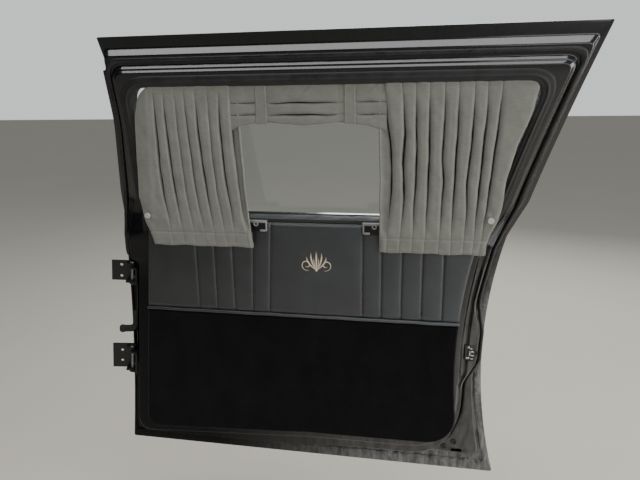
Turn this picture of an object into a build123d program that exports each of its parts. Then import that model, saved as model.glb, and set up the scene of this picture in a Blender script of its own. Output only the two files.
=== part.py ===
from build123d import *
import os
from math import atan2, cos, hypot, radians, sin, sqrt, tan

# Right-hand rear side door of a hearse with its two hinges, standing open. Millimetres.
# Door axes: +X from the hinge edge to the latch edge, +Y outboard, +Z up. The trim is near Y = 0 and
# Z = 0 is the bottom edge. Every piece is moved at the end, so that the origin of the written parts
# is the centre of the lower hinge's bolt holes, on the face that meets the pillar.

# Overall form
HEIGHT = 1195.0  # bottom edge to top edge
BELT = 735.0  # bottom edge to window sill
FRAME_LEAN = 12.0  # degrees that the window frame leans inboard
FRONT_LEAN = 4.0  # degrees that the lower front edge leans back
FRONT_FOOT_X = -50.0  # front edge at the bottom
KINK_X = 36.0  # front edge where it turns upright
KINK_RISE = 262.0  # slanted height of that turn above the sill
HEADER_FRONT_X = 38.0  # front end of the header at the top
HEADER_NOTCH = 16.0  # step of the header's front end
HEADER_DEPTH = 75.0  # height of the header above that step
SILL_REAR_X = 1078.0  # rear edge at the sill
REAR_RAKE = 139.0  # how far the top rear corner lies behind the sill's
REAR_SAG = 5.0  # hollow of the slanted rear edge
ARCH_HOLLOW = 68.0  # how far the wheel-arch edge comes forward from the sill's rear corner
ARCH_Z = 360.0  # height of that foremost point
ARCH_RADIUS = 1420.0
EDGE_CORNER = 4.0

# Outer skin and inner panel
SHEET = 2.0
SKIN_FOOT_Y = 86.0
SKIN_SILL_Y = 78.0
SKIN_CROWN = 22.0  # bulge of the skin between bottom and sill
HEM_GAP = 0.2  # glue between the skin and the flange that it folds round
HEM_WIDTH = 10.0
WALL_Y = 40.0  # land that carries the weatherstrip
LAND_Y = 14.0  # land that carries the latch
FACE_Y = 4.0  # inner face behind the trim
WALL_REAR = 24.0  # flange outside the wall, at the rear and at the foot
WALL_FOOT = 62.0
WALL_CORNER = 28.0
STEP_Z = 610.0  # top of the hinge recess
STEP_FRONT = 10.0
LAND_FOOT = 22.0  # foot of the land above the wall's
LAND_REAR = 43.0  # land inside the rear edge
LAND_LATCH = 19.0  # the same beside the latch, where it swells
LAND_SWEEP = 85.0  # the same at the foot, where it sweeps away
LAND_TAPER = 4.0  # the latch's swelling below the latch
LAND_ABOVE = 147.0  # from the latch up to where the swelling begins
LAND_BELOW = 84.0  # from the latch down to where it ends
LAND_TURNS = (60.0, 30.0)  # bends where it begins, and beside and below the latch
LAND_CORNERS = (45.0, 120.0)  # front and rear
FACE_FRONT = 12.0
FACE_REAR = 64.0
FACE_FOOT = 38.0  # foot of the face above the wall's
FACE_CORNERS = (45.0, 100.0)
SQUARE = 0.5  # radius of corners that are left square

# Hinges
HINGE_LEAN = 6.0
OPEN_ANGLE = 72.0
PIN_X = -4.0  # pin axis at the lower hinge
PIN_Y = 45.0
LOWER_HINGE_Z = 290.0
HINGE_PITCH = 272.0  # height of the upper hinge above the lower
LOWER_HINGE_HEIGHT = 78.0
UPPER_HINGE_HEIGHT = 60.0
PIN_RADIUS = 5.0
PIN_FIT = 0.02
PIN_RUNNING = 0.06
PIN_END = 3.0  # how far a pin stands out of its leaves
PIN_HEAD = 4.0
PIN_HEAD_RIM = 3.0
EYE_WALL = 5.0
LEAF = 5.0
PIN_TO_PILLAR = 27.0
PIN_TO_DOOR = 27.0
PILLAR_LEAF_INBOARD = 62.0
PILLAR_LEAF_OUTBOARD = 8.0
DOOR_LEAF_INBOARD = 28.0
DOOR_LEAF_OUTBOARD = 18.0
ARM_GAP = 1.0
BOLT_PITCH = 34.0
BOLT_RADIUS = 4.5
BOLT_SHIFT = 8.0  # bolts inboard of the pillar leaf's middle

# Window
FRAME_Y = 70.0  # outer face of the window frame at the sill
FRAME_FOOT = 40.0  # outlines are drawn this far below the sill, then cut
FLANGE = 4.0
STEP_ONE = 22.0  # depths of the two steps
STEP_TWO = 36.0
STEP_ONE_INSETS = (16.0, 36.0, 18.0)  # front, top, rear
STEP_TWO_INSETS = (34.0, 64.0, 38.0)
STEP_ONE_CORNER = 30.0
STEP_TWO_CORNER = 46.0
STEP_DRAFTS = (6.0, 3.0)  # how far the sides of each step lean in
REBATE = 4.0
SEAL_DEPTH = 44.0
SEAL_WIDTH = 25.0
OPEN_FRONT = 78.0
OPEN_TOP = 115.0
OPEN_REAR = 85.0
OPEN_RADIUS = 42.0
GLASS = 5.0
GLASS_DEPTH = 12.0
GLASS_HOLD = 8.0
GLASS_FOOT = 45.0
FIT = 0.3
SEAT = 0.1  # gap under pieces that are glued or clipped on

# Weatherstrip and sill
STRIP = 10.0
STRIP_HEIGHT = 12.0
STRIP_GAP = 1.0  # beside the step that it stands against
STRIP_INSETS = (24.0, 48.0, 26.0)  # front, top, rear
SILL_GAP = 12.0
SILL_RAIL = 40.0
RAIL_WIDTH = 28.0
LIP_GAP = 3.5  # rubber lip before the glass
LIP = 2.0
LIP_HEIGHT = 10.0
LIP_FOOT = 4.0  # width of the lip's root
MOULDING_GAP = 2.4
MOULDING = 3.0
MOULDING_DROP = 14.0  # height of its apron below the sill
MOULDING_HEIGHT = 12.0
MOULDING_GLASS_GAP = 7.5

# Trim
TRIM = 13.0
TRIM_FRONT = 45.0  # trim behind the hinge face
TRIM_REAR = 77.0  # trim inside the rear edge
TRIM_FOOT_Z = 106.0
TRIM_RISE = 25.0  # the foot of the trim climbs by this, up to the turn
TRIM_TURN_X = 540.0
TRIM_CORNERS = (42.0, 88.0)
TRIM_DROP = 2.0  # top of the trim below the sill
PIPING_Z = 481.0
PIPING_GAP = 0.1
PIPING_RADIUS = 4.4
PIPING_SINK = 2.0
CARPET = 11.0

# Curtains
CURTAIN_DROP = 64.0  # hem below the sill
CURTAIN_HEM_Y = -24.0
CURTAIN_TOP_SINK = 7.9  # middle of the cloth behind the inner face of the rubber band, at the top
CURTAIN = 18.0
FRONT_CURTAIN_X = 405.0  # where the front curtain and the valance end at the hem and the top
REAR_CURTAIN_X = 742.0
VALANCE_FRONT_X = 376.0
VALANCE_GAP = 1.0
VALANCE_DROP = 99.0
VALANCE_SCALLOP = 12.0
SNAP_RADIUS = 7.5
SNAP_HEIGHT = 4.0
FRONT_SNAP = (18.0, 18.0)  # behind the opening's front side, above the sill
REAR_SNAP = (-6.0, 26.0)  # the same from its rear side
CLIP = 3.0
CLIP_LENGTH = 48.0
CLIP_HEIGHT = 28.0
CLIP_DROP = 10.0  # middle of the clip below the sill
CLIP_WINDOW = (17.0, 15.0)
CLIP_WINDOW_SHIFT = (11.0, 2.0)  # forward and up from the clip's middle
CLIP_EAR = (18.0, 14.0)
CLIP_EAR_DROP = 4.0
FRONT_CLIP_SHIFT = 17.0  # behind the front curtain
REAR_CLIP_SHIFT = 26.0  # before the rear curtain
RAIL = 5.0
RAIL_HEIGHT = 18.0
RAIL_DEPTH = 22.0
RAIL_INSET = 70.0  # each end of the board inside the opening's side

# Curtain edges: offset from the opening's side, height from a level, corner radius
FRONT_EDGE_HEM = (28.0, 3.0, 6.0)
FRONT_EDGE_SILL = (-4.0, 35.0, 60.0)
FRONT_EDGE_SIDE = (-1.0, -113.0, 60.0)
FRONT_EDGE_SHOULDER = (24.0, -25.0, 30.0)
FRONT_EDGE_TOP = (46.0, 0.0, 10.0)
REAR_EDGE_TOP = (-37.0, 0.0, 20.0)
REAR_EDGE_SHOULDER = (-18.0, -33.0, 14.0)
REAR_EDGE_SIDE = (-8.0, 125.0, 60.0)
REAR_EDGE_SILL = (8.0, 10.0, 40.0)
REAR_EDGE_FOOT = (-7.0, -35.0, 10.0)  # from the opening's side at the sill
REAR_TOP_SHIFT = 4.0  # top of the rear curtain's inner edge before its hem
HEM_CORNER = 3.0
VALANCE_FRONT_SHIFT = 17.0  # hem of the valance behind its top
VALANCE_REAR_SHIFT = 2.0
VALANCE_WAVE = (64.0, 47.0)  # crests of the scalloped hem from its two ends
VALANCE_BEND = 8.0

# Latch
LATCH_Z = 397.0
LATCH_HEIGHT = 42.0
LATCH_DEPTH = 44.0
LATCH_INSET = 26.5  # latch inside the rear edge
LATCH_LENGTH = 26.0
MOUTH = 13.0
MOUTH_WALL = 6.0
MOUTH_REACH = 4.0  # depth of the mouth beyond the middle of the housing, twice
CLAW_RADIUS = 8.5
CLAW = 4.0
CLAW_BITE = 3.0  # what the claw's slot leaves of its diameter
CLAW_GAP = 0.5

# Wiring between body and door
BOOT_RADIUS = 9.0
BOOT_BEND = 24.0
BOOT_Y = 36.0
BOOT_Z = 452.0
BOOT_DROP = 56.0
BOOT_LEAN = 6.0  # foot of the drop before its top
BOOT_REACH = 23.0  # free end before the lower pin
BOOT_SIDE = 6.0  # free end outboard of the rest
BOOT_DIP = 7.0
BOOT_STEPS = 4  # straight pieces that make the elbow
COLLAR = 3.0
COLLAR_LENGTH = 5.0
HARNESS = 6.0
HARNESS_LENGTH = 72.0
HARNESS_RIB = 3.0
HARNESS_DROP = 4.0  # below the upper hinge
HARNESS_GAP = 0.5

# Outer handle
HANDLE_Z = 628.0
HANDLE_INSET = 124.0  # middle of the handle inside the rear edge
HANDLE_LENGTH = 150.0
HANDLE_HEIGHT = 58.0
BEZEL = 15.0
BEZEL_WALL = 11.0
BEZEL_CORNER = 12.0
GRIP = 10.0
GRIP_REACH = 8.0
GRIP_HEIGHT = 16.0
GRIP_RISE = 4.0
CUP_DROP = 5.0
CUP_CORNER = 9.0
GRIP_CORNER = 6.0
GRIP_CUT = 2.0  # grip shorter than the cup

FRAME_TILT = radians(FRAME_LEAN)
RISE = (HEIGHT - BELT) / cos(FRAME_TILT)
ARCH_X = SILL_REAR_X - ARCH_HOLLOW
door_face = Plane(origin=(0, 0, 0), x_dir=(1, 0, 0), z_dir=(0, -1, 0))
frame_face = Plane(
    origin=(0, FRAME_Y, BELT),
    x_dir=(1, 0, 0),
    z_dir=(0, -cos(FRAME_TILT), -sin(FRAME_TILT)),
)
FAR = 3000.0


def front_x(z):
    """Outer front edge below the sill."""
    return FRONT_FOOT_X + z * tan(radians(FRONT_LEAN))


def arch_x(z, inset=0.0):
    """Rear edge below the sill, an arc about a point behind the door."""
    radius = ARCH_RADIUS + inset
    return ARCH_X + ARCH_RADIUS - sqrt(radius**2 - (z - ARCH_Z) ** 2)


def hinge_face_x(z):
    """Front face of the inner panel, parallel to the hinge pin."""
    lean = radians(HINGE_LEAN)
    return PIN_X + PIN_TO_DOOR / cos(lean) + (z - LOWER_HINGE_Z) * tan(lean)


def skin_y(z):
    """Outer surface of the skin: a parabola that keeps close to the arc of skin_region."""
    share = z / BELT
    return SKIN_FOOT_Y + share * (SKIN_SILL_Y - SKIN_FOOT_Y) + 4 * SKIN_CROWN * share * (1 - share)


def header_z(height, depth):
    """Height above the bottom edge of a point on the leaning frame."""
    return BELT + height * cos(FRAME_TILT) - depth * sin(FRAME_TILT)


def header_y(height, depth):
    """Place inboard of a point on the leaning frame."""
    return FRAME_Y - height * sin(FRAME_TILT) - depth * cos(FRAME_TILT)


def open_rear_x(height):
    """Rear side of the window opening on the leaning frame."""
    return SILL_REAR_X - OPEN_REAR + REAR_RAKE * height / RISE


def slab(face, y_low, y_high):
    """Extrude a face drawn in X and Z between two values of Y."""
    return door_face * Pos(0, 0, -y_high) * extrude(face, y_high - y_low)


def frame_slab(face, low, high):
    """Extrude a face drawn on the leaning frame, depths measured inboard from its outer face."""
    return frame_face * Pos(0, 0, low) * extrude(face, high - low)


def skin_region(shift):
    """Everything inboard of the skin's outer surface moved outboard by shift, as one cylinder."""
    lean = atan2(SKIN_SILL_Y - SKIN_FOOT_Y, BELT)
    chord = hypot(SKIN_SILL_Y - SKIN_FOOT_Y, BELT)
    radius = chord**2 / (8 * SKIN_CROWN) + SKIN_CROWN / 2
    below_chord = radius - SKIN_CROWN
    centre_y = (SKIN_FOOT_Y + SKIN_SILL_Y) / 2 - below_chord * cos(lean)
    centre_z = BELT / 2 + below_chord * sin(lean)
    across = Plane(origin=(-FAR, 0, 0), x_dir=(0, 1, 0), z_dir=(1, 0, 0))
    return extrude(across * Pos(centre_y, centre_z) * Circle(radius + shift), 2 * FAR)


def rounded(points):
    """Closed outline from rows of x, z, corner radius."""
    places = [(x, z) for x, z, radius in points]
    radii = [radius for x, z, radius in points]
    return make_face(FilletPolyline(*places, radius=radii, close=True))


def corner(face, radius, side):
    """Round one lower corner of an outline: side 0 is the front one, -1 the rear one."""
    low = face.vertices().sort_by(Axis.Y)[:2].sort_by(Axis.X)
    return fillet(low[side], radius)


def arch_outline(front, rear, foot, radius):
    """Lower door outline: straight front and bottom, rear edge on the wheel-arch arc."""
    low_front = (front_x(foot) + front, foot)
    high_front = (front_x(BELT) + front, BELT)
    high_rear = (arch_x(BELT, rear), BELT)
    low_rear = (arch_x(foot, rear), foot)
    edges = Polyline(low_rear, low_front, high_front, high_rear) + ThreePointArc(
        high_rear, (ARCH_X - rear, ARCH_Z), low_rear
    )
    return corner(corner(make_face(edges), radius, 0), radius, -1)


def hinge_outline(front, rear, foot, rise, radii):
    """Outline behind the hinge face: its foot climbs by rise, and its rear follows the wheel arch."""
    low_front = (hinge_face_x(foot) + front, foot)
    high_front = (hinge_face_x(BELT) + front, BELT)
    high_rear = (arch_x(BELT, rear), BELT)
    low_rear = (arch_x(foot + rise, rear), foot + rise)
    turn = [(TRIM_TURN_X, foot + rise)] if rise else []
    edges = Polyline(low_rear, *turn, low_front, high_front, high_rear) + ThreePointArc(
        high_rear, (ARCH_X - rear, ARCH_Z), low_rear
    )
    face = make_face(edges)
    rear_low = face.vertices().filter_by(lambda v: v.Y < BELT / 2).sort_by(Axis.X)
    face = fillet(rear_low[-1], radii[1])
    front_low = face.vertices().sort_by(Axis.Y)[0]
    return fillet(front_low, radii[0])


def wall_outline(inset):
    """Outer wall of the inner panel: wide above the hinge recess, cut back to the hinge face below."""
    whole = arch_outline(STEP_FRONT + inset, WALL_REAR + inset, WALL_FOOT + inset, WALL_CORNER)
    low = hinge_face_x(0) + inset
    high = hinge_face_x(STEP_Z + inset) + inset
    recess = make_face(
        Polyline((-FAR, 0), (low, 0), (high, STEP_Z + inset), (-FAR, STEP_Z + inset), (-FAR, 0))
    )
    return whole - recess


def land_outline(inset):
    """Raised land inside the wall: it swells round the latch and sweeps over the lower rear corner."""
    foot = WALL_FOOT + LAND_FOOT + inset
    above = LATCH_Z + LAND_ABOVE
    below = LATCH_Z - LAND_BELOW
    high = LATCH_Z + LATCH_HEIGHT
    low = LATCH_Z - LATCH_HEIGHT / 2
    swept_x = arch_x(foot) - LAND_SWEEP - inset
    return rounded(
        [
            (hinge_face_x(foot) + inset, foot, LAND_CORNERS[0]),
            (hinge_face_x(BELT) + inset, BELT, SQUARE),
            (arch_x(BELT) - LAND_REAR - inset, BELT, SQUARE),
            (arch_x(above) - LAND_REAR - inset, above, LAND_TURNS[0]),
            (arch_x(high) - LAND_LATCH - inset, high, LAND_TURNS[1]),
            (arch_x(LATCH_Z) - LAND_LATCH - LAND_TAPER - inset, low, LAND_TURNS[1]),
            (swept_x, below, LAND_TURNS[1]),
            (swept_x, foot, LAND_CORNERS[1]),
        ]
    )


def face_outline(inset):
    """Main inner face, a little larger than the trim."""
    return hinge_outline(
        FACE_FRONT + inset, FACE_REAR + inset, WALL_FOOT + FACE_FOOT + inset, 0, FACE_CORNERS
    )


def trim_outline(low, high):
    """Trim panel outline between two heights."""
    whole = hinge_outline(TRIM_FRONT, TRIM_REAR, TRIM_FOOT_Z, TRIM_RISE, TRIM_CORNERS)
    return whole & (Pos(0, (low + high) / 2) * Rectangle(FAR, high - low))


def frame_outline(front, top, rear, radius, notch=False):
    """Window frame outline on the leaning plane, from below the sill up to the header."""
    lean = KINK_X - front_x(BELT)
    foot_x = front_x(BELT) + front - FRAME_FOOT * lean / KINK_RISE
    header = RISE - top
    sag = REAR_SAG * header / RISE
    rear_slope = REAR_RAKE / RISE
    low_rear = (SILL_REAR_X - rear - FRAME_FOOT * rear_slope, -FRAME_FOOT)
    sill_rear = (SILL_REAR_X - rear, 0)
    high_rear = (SILL_REAR_X - rear + rear_slope * header, header)
    mid_rear = ((sill_rear[0] + high_rear[0]) / 2 - sag, header / 2)
    front_side = [(foot_x, -FRAME_FOOT), (KINK_X + front, KINK_RISE)]
    if notch:
        step = header - HEADER_DEPTH
        front_side += [
            (KINK_X + front, step),
            (KINK_X + front + HEADER_NOTCH, step),
            (HEADER_FRONT_X, header),
        ]
    else:
        front_side += [(KINK_X + front, header)]
    edges = (
        Polyline(low_rear, *front_side, high_rear)
        + Line(low_rear, sill_rear)
        + ThreePointArc(sill_rear, mid_rear, high_rear)
    )
    face = make_face(edges)
    if radius:
        face = fillet(face.vertices().sort_by(Axis.Y)[-2:], radius)
    return face


def opening_outline(grow):
    """Window opening grown by a margin all round, its corners growing with it."""
    return frame_outline(
        OPEN_FRONT - grow, OPEN_TOP - grow, OPEN_REAR - grow, OPEN_RADIUS + grow
    )


above_sill = Pos(0, 0, BELT + FAR / 2) * Box(FAR, FAR, FAR)

# Outer skin, crowned between bottom edge and sill, its edge folded round the inner panel's flange
fold = SHEET + HEM_GAP
hem = 2 * fold + SHEET
thick_skin = slab(arch_outline(0, 0, 0, EDGE_CORNER), -FAR, FAR) & (
    skin_region(0) - skin_region(-hem)
)
flange_room = slab(arch_outline(SHEET, SHEET, SHEET, EDGE_CORNER), -FAR, FAR) & (
    skin_region(-SHEET) - skin_region(SHEET - hem)
)
inside_hem = slab(arch_outline(HEM_WIDTH, HEM_WIDTH, HEM_WIDTH, EDGE_CORNER), -FAR, FAR)
outer_skin = thick_skin - flange_room - (inside_hem & skin_region(-fold))

# Inner panel: a stepped pressing with a flange that lies inside the skin's fold
flange_face = arch_outline(fold, fold, fold, EDGE_CORNER) - wall_outline(SHEET)
flange = slab(flange_face, -FAR, FAR) & (skin_region(-fold) - skin_region(-fold - SHEET))
pressing = (
    slab(wall_outline(0), WALL_Y, FAR)
    + slab(land_outline(0), LAND_Y, WALL_Y)
    + slab(face_outline(0), FACE_Y, LAND_Y)
) & skin_region(-fold)
hollow = (
    slab(wall_outline(SHEET), WALL_Y + SHEET, FAR)
    + slab(land_outline(SHEET), LAND_Y + SHEET, WALL_Y + SHEET)
    + slab(face_outline(SHEET), FACE_Y + SHEET, LAND_Y + SHEET)
)
latch_rear_x = arch_x(LATCH_Z) - LATCH_INSET
latch_middle = (latch_rear_x - LATCH_LENGTH / 2, LAND_Y + LATCH_DEPTH / 2, LATCH_Z)
latch_cut = Pos(*latch_middle) * Box(
    LATCH_LENGTH + 2 * FIT, LATCH_DEPTH + 2 * SHEET, LATCH_HEIGHT + 2 * FIT
)
inner_panel = pressing - hollow + flange - latch_cut

# Latch with a striker mouth open to the inside and to the rear, and its claw
mouth_length = 2 * (LATCH_LENGTH - MOUTH_WALL)
mouth_cut = Pos(latch_rear_x, LAND_Y, LATCH_Z) * Box(mouth_length, LATCH_DEPTH + MOUTH_REACH, MOUTH)
latch_body = Pos(*latch_middle) * Box(LATCH_LENGTH, LATCH_DEPTH, LATCH_HEIGHT)
latch_housing = latch_body - mouth_cut
claw_face = Circle(CLAW_RADIUS) - Pos(CLAW_RADIUS / 2, -CLAW_RADIUS) * Rectangle(
    CLAW_RADIUS, 2 * CLAW_RADIUS - CLAW_BITE
)
claw_y = LAND_Y + (LATCH_DEPTH + MOUTH_REACH) / 2 - CLAW_RADIUS - CLAW_GAP
latch_claw = Pos(latch_rear_x - CLAW_RADIUS - CLAW_GAP, claw_y, LATCH_Z - CLAW / 2) * extrude(
    claw_face, CLAW
)

# Window frame: a flange and two drafted steps, cut flat at the sill
def frame_step(insets, radius, draft, low, high):
    """Step of the frame between two depths, its sides leaning in by draft."""
    foot = frame_face * Pos(0, 0, low) * frame_outline(*insets, radius)
    drafted = [inset + draft for inset in insets]
    top = frame_face * Pos(0, 0, high) * frame_outline(*drafted, radius - draft)
    return loft([foot, top], ruled=True)


rebate = opening_outline(GLASS_HOLD + REBATE)
window_frame = (
    frame_slab(frame_outline(0, 0, 0, 0, notch=True), 0, FLANGE)
    + frame_step(STEP_ONE_INSETS, STEP_ONE_CORNER, STEP_DRAFTS[0], FLANGE, STEP_ONE)
    + frame_step(STEP_TWO_INSETS, STEP_TWO_CORNER, STEP_DRAFTS[1], STEP_ONE, STEP_TWO)
    - frame_slab(rebate, -SHEET, STEP_TWO + SHEET)
) & above_sill

# Rubber band round the opening, with a groove that holds the glass
opening = opening_outline(0)
seal_web = opening_outline(GLASS_HOLD + REBATE - FIT) - opening
seal_lip = opening_outline(SEAL_WIDTH) - opening
groove = frame_slab(opening_outline(GLASS_HOLD + FIT), GLASS_DEPTH - FIT, GLASS_DEPTH + GLASS + FIT)
window_seal = (
    frame_slab(seal_web, 0, STEP_TWO) + frame_slab(seal_lip, STEP_TWO, SEAL_DEPTH) - groove
) & above_sill
glass_region = Pos(0, 0, BELT - GLASS_FOOT + FAR / 2) * Box(FAR, FAR, FAR)
glass_sheet = frame_slab(opening_outline(GLASS_HOLD), GLASS_DEPTH, GLASS_DEPTH + GLASS)
window_glass = glass_sheet & glass_region

# Weatherstrip on the land round the lower door and round the window frame
strip_low_face = land_outline(-STRIP_GAP - STRIP) - land_outline(-STRIP_GAP)
strip_low = slab(strip_low_face, WALL_Y - STRIP_HEIGHT, WALL_Y - SEAT)
strip_low = strip_low & slab(wall_outline(STRIP_GAP), -FAR, FAR) & skin_region(-2 * fold)
beside_step = [inset - FIT for inset in STEP_TWO_INSETS]
strip_face = frame_outline(*STRIP_INSETS, STEP_TWO_CORNER - STRIP) - frame_outline(
    *beside_step, STEP_TWO_CORNER
)
strip_high = frame_slab(strip_face, STEP_ONE + SEAT, STEP_ONE + STRIP_HEIGHT) & above_sill
door_weatherstrip = strip_low + strip_high

# Sill: rail behind the trim, rubber lip against the glass, moulding over the skin
sill_front = front_x(BELT) + OPEN_FRONT + SILL_GAP
sill_rear = SILL_REAR_X - OPEN_REAR - SILL_GAP
sill_length = sill_rear - sill_front
rail_front = FACE_Y + SHEET + SEAT
rail_back = rail_front + RAIL_WIDTH
rail_middle = (rail_front + rail_back) / 2
belt_rail = Pos((sill_front + sill_rear) / 2, rail_middle, BELT - SILL_RAIL / 2) * (
    Box(sill_length, RAIL_WIDTH, SILL_RAIL)
    - Box(sill_length - SILL_RAIL, RAIL_WIDTH - 2 * SHEET, SILL_RAIL - 2 * SHEET)
)
glass_y = FRAME_Y - (GLASS_DEPTH + GLASS) * cos(FRAME_TILT)
sill_plane = Plane(origin=(sill_front, 0, BELT), x_dir=(0, 1, 0), z_dir=(1, 0, 0))
lip_tip = glass_y - LIP_GAP
lip_profile = Polyline(
    (rail_front + LIP, 0),
    (rail_back, 0),
    (lip_tip, LIP_HEIGHT - LIP),
    (lip_tip, LIP_HEIGHT),
    (rail_back - LIP_FOOT, LIP_HEIGHT - LIP / 2),
    (rail_front + LIP + LIP_FOOT, LIP_HEIGHT - 2 * LIP),
    close=True,
)
inner_belt_seal = extrude(sill_plane * make_face(lip_profile), sill_length)
outside = SKIN_SILL_Y + MOULDING_GAP
moulding_inside = glass_y + MOULDING_GLASS_GAP
moulding_profile = Polyline(
    (outside, -MOULDING_DROP),
    (outside + MOULDING, MOULDING - MOULDING_DROP),
    (outside + MOULDING, MOULDING),
    (SKIN_SILL_Y - MOULDING, MOULDING_HEIGHT),
    (moulding_inside, MOULDING_HEIGHT),
    (moulding_inside, MOULDING_HEIGHT - MOULDING),
    (SKIN_SILL_Y - 2 * MOULDING, SEAT),
    (outside, SEAT),
    close=True,
)
outer_belt_moulding = extrude(sill_plane * make_face(moulding_profile), sill_length)

# Trim: pleated vinyl above the piping, carpet below it
vinyl_low = PIPING_Z + PIPING_RADIUS + PIPING_GAP
carpet_high = PIPING_Z - PIPING_RADIUS - PIPING_GAP
upper_trim = slab(trim_outline(vinyl_low, BELT - TRIM_DROP), FACE_Y - TRIM, FACE_Y)
lower_trim = slab(trim_outline(0, carpet_high), FACE_Y - CARPET, FACE_Y)
piping_front = hinge_face_x(PIPING_Z) + TRIM_FRONT
piping_length = arch_x(PIPING_Z) - TRIM_REAR - piping_front
piping_y = FACE_Y - TRIM + PIPING_RADIUS + PIPING_SINK
piping = Pos(piping_front, piping_y, PIPING_Z) * Rot(0, 90, 0) * extrude(
    Circle(PIPING_RADIUS), piping_length
)

# Curtains: plain solids of the cloth's outer shape, hung from a rail under the header
hem_z = BELT - CURTAIN_DROP
top_z = header_z(RISE - OPEN_TOP, SEAL_DEPTH)
curtain_top_y = header_y(RISE - OPEN_TOP, SEAL_DEPTH) + CURTAIN_TOP_SINK
curtain_lean = (CURTAIN_HEM_Y - curtain_top_y) / (top_z - hem_z)
cloth_face = Plane(
    origin=(0, CURTAIN_HEM_Y + CURTAIN / 2, hem_z), x_dir=(1, 0, 0), z_dir=(0, -1, -curtain_lean)
)
open_front_x = KINK_X + OPEN_FRONT


def cloth(points):
    """Cloth solid from rows of x, z, corner radius."""
    return cloth_face * extrude(rounded([(x, z - hem_z, radius) for x, z, radius in points]), CURTAIN)


def front_side(edge, level):
    """Row of the front curtain's free edge, from its offset, height and corner radius."""
    return (open_front_x + edge[0], level + edge[1], edge[2])


def rear_side(edge, level):
    """Row of the rear curtain's free edge beside the slanted rear side of the opening."""
    z = level + edge[1]
    return (open_rear_x((z - BELT) / cos(FRAME_TILT)) + edge[0], z, edge[2])


curtain_foot_x = SILL_REAR_X - OPEN_REAR + REAR_EDGE_FOOT[0]
rear_curtain_top_x = REAR_CURTAIN_X - REAR_TOP_SHIFT
front_curtain = cloth(
    [
        front_side(FRONT_EDGE_HEM, hem_z),
        front_side(FRONT_EDGE_SILL, BELT),
        front_side(FRONT_EDGE_SIDE, top_z),
        front_side(FRONT_EDGE_SHOULDER, top_z),
        front_side(FRONT_EDGE_TOP, top_z),
        (VALANCE_FRONT_X - VALANCE_GAP, top_z, SQUARE),
        (FRONT_CURTAIN_X, hem_z, HEM_CORNER),
    ]
)
rear_curtain = cloth(
    [
        (REAR_CURTAIN_X, hem_z, HEM_CORNER),
        (rear_curtain_top_x, top_z, SQUARE),
        rear_side(REAR_EDGE_TOP, top_z),
        rear_side(REAR_EDGE_SHOULDER, top_z),
        rear_side(REAR_EDGE_SIDE, BELT),
        rear_side(REAR_EDGE_SILL, BELT),
        (curtain_foot_x, BELT + REAR_EDGE_FOOT[1], REAR_EDGE_FOOT[2]),
        (curtain_foot_x, hem_z, HEM_CORNER),
    ]
)
valance_rear_x = rear_curtain_top_x - VALANCE_GAP
valance_low = top_z - VALANCE_DROP
valance_middle_x = (VALANCE_FRONT_X + valance_rear_x) / 2
valance = cloth(
    [
        (VALANCE_FRONT_X + VALANCE_FRONT_SHIFT, valance_low, HEM_CORNER),
        (VALANCE_FRONT_X, top_z, SQUARE),
        (valance_rear_x, top_z, SQUARE),
        (valance_rear_x - VALANCE_REAR_SHIFT, valance_low, HEM_CORNER),
        (valance_rear_x - VALANCE_WAVE[1], valance_low + VALANCE_SCALLOP, VALANCE_BEND),
        (valance_middle_x, valance_low + VALANCE_SCALLOP / 2, VALANCE_BEND),
        (VALANCE_FRONT_X + VALANCE_WAVE[0], valance_low + VALANCE_SCALLOP, VALANCE_BEND),
    ]
)
open_rear_top_x = open_rear_x(RISE - OPEN_TOP)
rail_length = open_rear_top_x - open_front_x - 2 * RAIL_INSET
rail_z = RISE - OPEN_TOP - FIT - RAIL_HEIGHT / 2
rail_face = Pos((open_rear_top_x + open_front_x) / 2, rail_z) * Rectangle(rail_length, RAIL_HEIGHT)
curtain_rail = frame_slab(rail_face, RAIL_DEPTH, RAIL_DEPTH + RAIL)


def snap(x, z):
    """Press-stud cap on the face of a curtain."""
    return cloth_face * Pos(x, z - hem_z, CURTAIN + FIT) * Cylinder(
        SNAP_RADIUS, SNAP_HEIGHT, align=(Align.CENTER, Align.CENTER, Align.MIN)
    )


front_snap = snap(open_front_x + FRONT_SNAP[0], BELT + FRONT_SNAP[1])
rear_snap_height = REAR_SNAP[1] / cos(FRAME_TILT)
rear_snap = snap(open_rear_x(rear_snap_height) + REAR_SNAP[0], BELT + REAR_SNAP[1])


def belt_clip(x):
    """Screwed clip at the top of the trim: a plate with a window and an ear hooked over it."""
    front = FACE_Y - TRIM - FIT
    middle_z = BELT - CLIP_DROP
    plate = Pos(x, front - CLIP / 2, middle_z) * Box(CLIP_LENGTH, CLIP, CLIP_HEIGHT)
    window_x = x - CLIP_WINDOW_SHIFT[0]
    window_z = middle_z + CLIP_WINDOW_SHIFT[1]
    window = Pos(window_x, front - CLIP / 2, window_z) * Box(CLIP_WINDOW[0], 2 * CLIP, CLIP_WINDOW[1])
    ear_x = x + CLIP_LENGTH / 4
    ear = Pos(ear_x, front - 2 * CLIP, middle_z - CLIP_EAR_DROP) * Box(CLIP_EAR[0], 2 * CLIP, CLIP_EAR[1])
    return plate - window + ear


front_belt_clip = belt_clip(FRONT_CURTAIN_X + FRONT_CLIP_SHIFT)
rear_belt_clip = belt_clip(REAR_CURTAIN_X - REAR_CLIP_SHIFT)

# Hinges in their own axes: pin along Z, pillar leaf towards -X, door leaf towards +X
def leaf_arm(reach, low, high, hole):
    """Arm from a leaf plate to the eye round the pin."""
    radius = PIN_RADIUS + EYE_WALL
    side = 1 if reach > 0 else -1
    web = Pos(reach / 2, -radius / 2) * Rectangle(abs(reach), 3 * radius)
    web = web & (Pos(side * FAR / 2, 0) * Rectangle(FAR, FAR))
    face = web + Circle(radius) - Circle(hole)
    return Pos(0, 0, low) * extrude(face, high - low)


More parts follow.
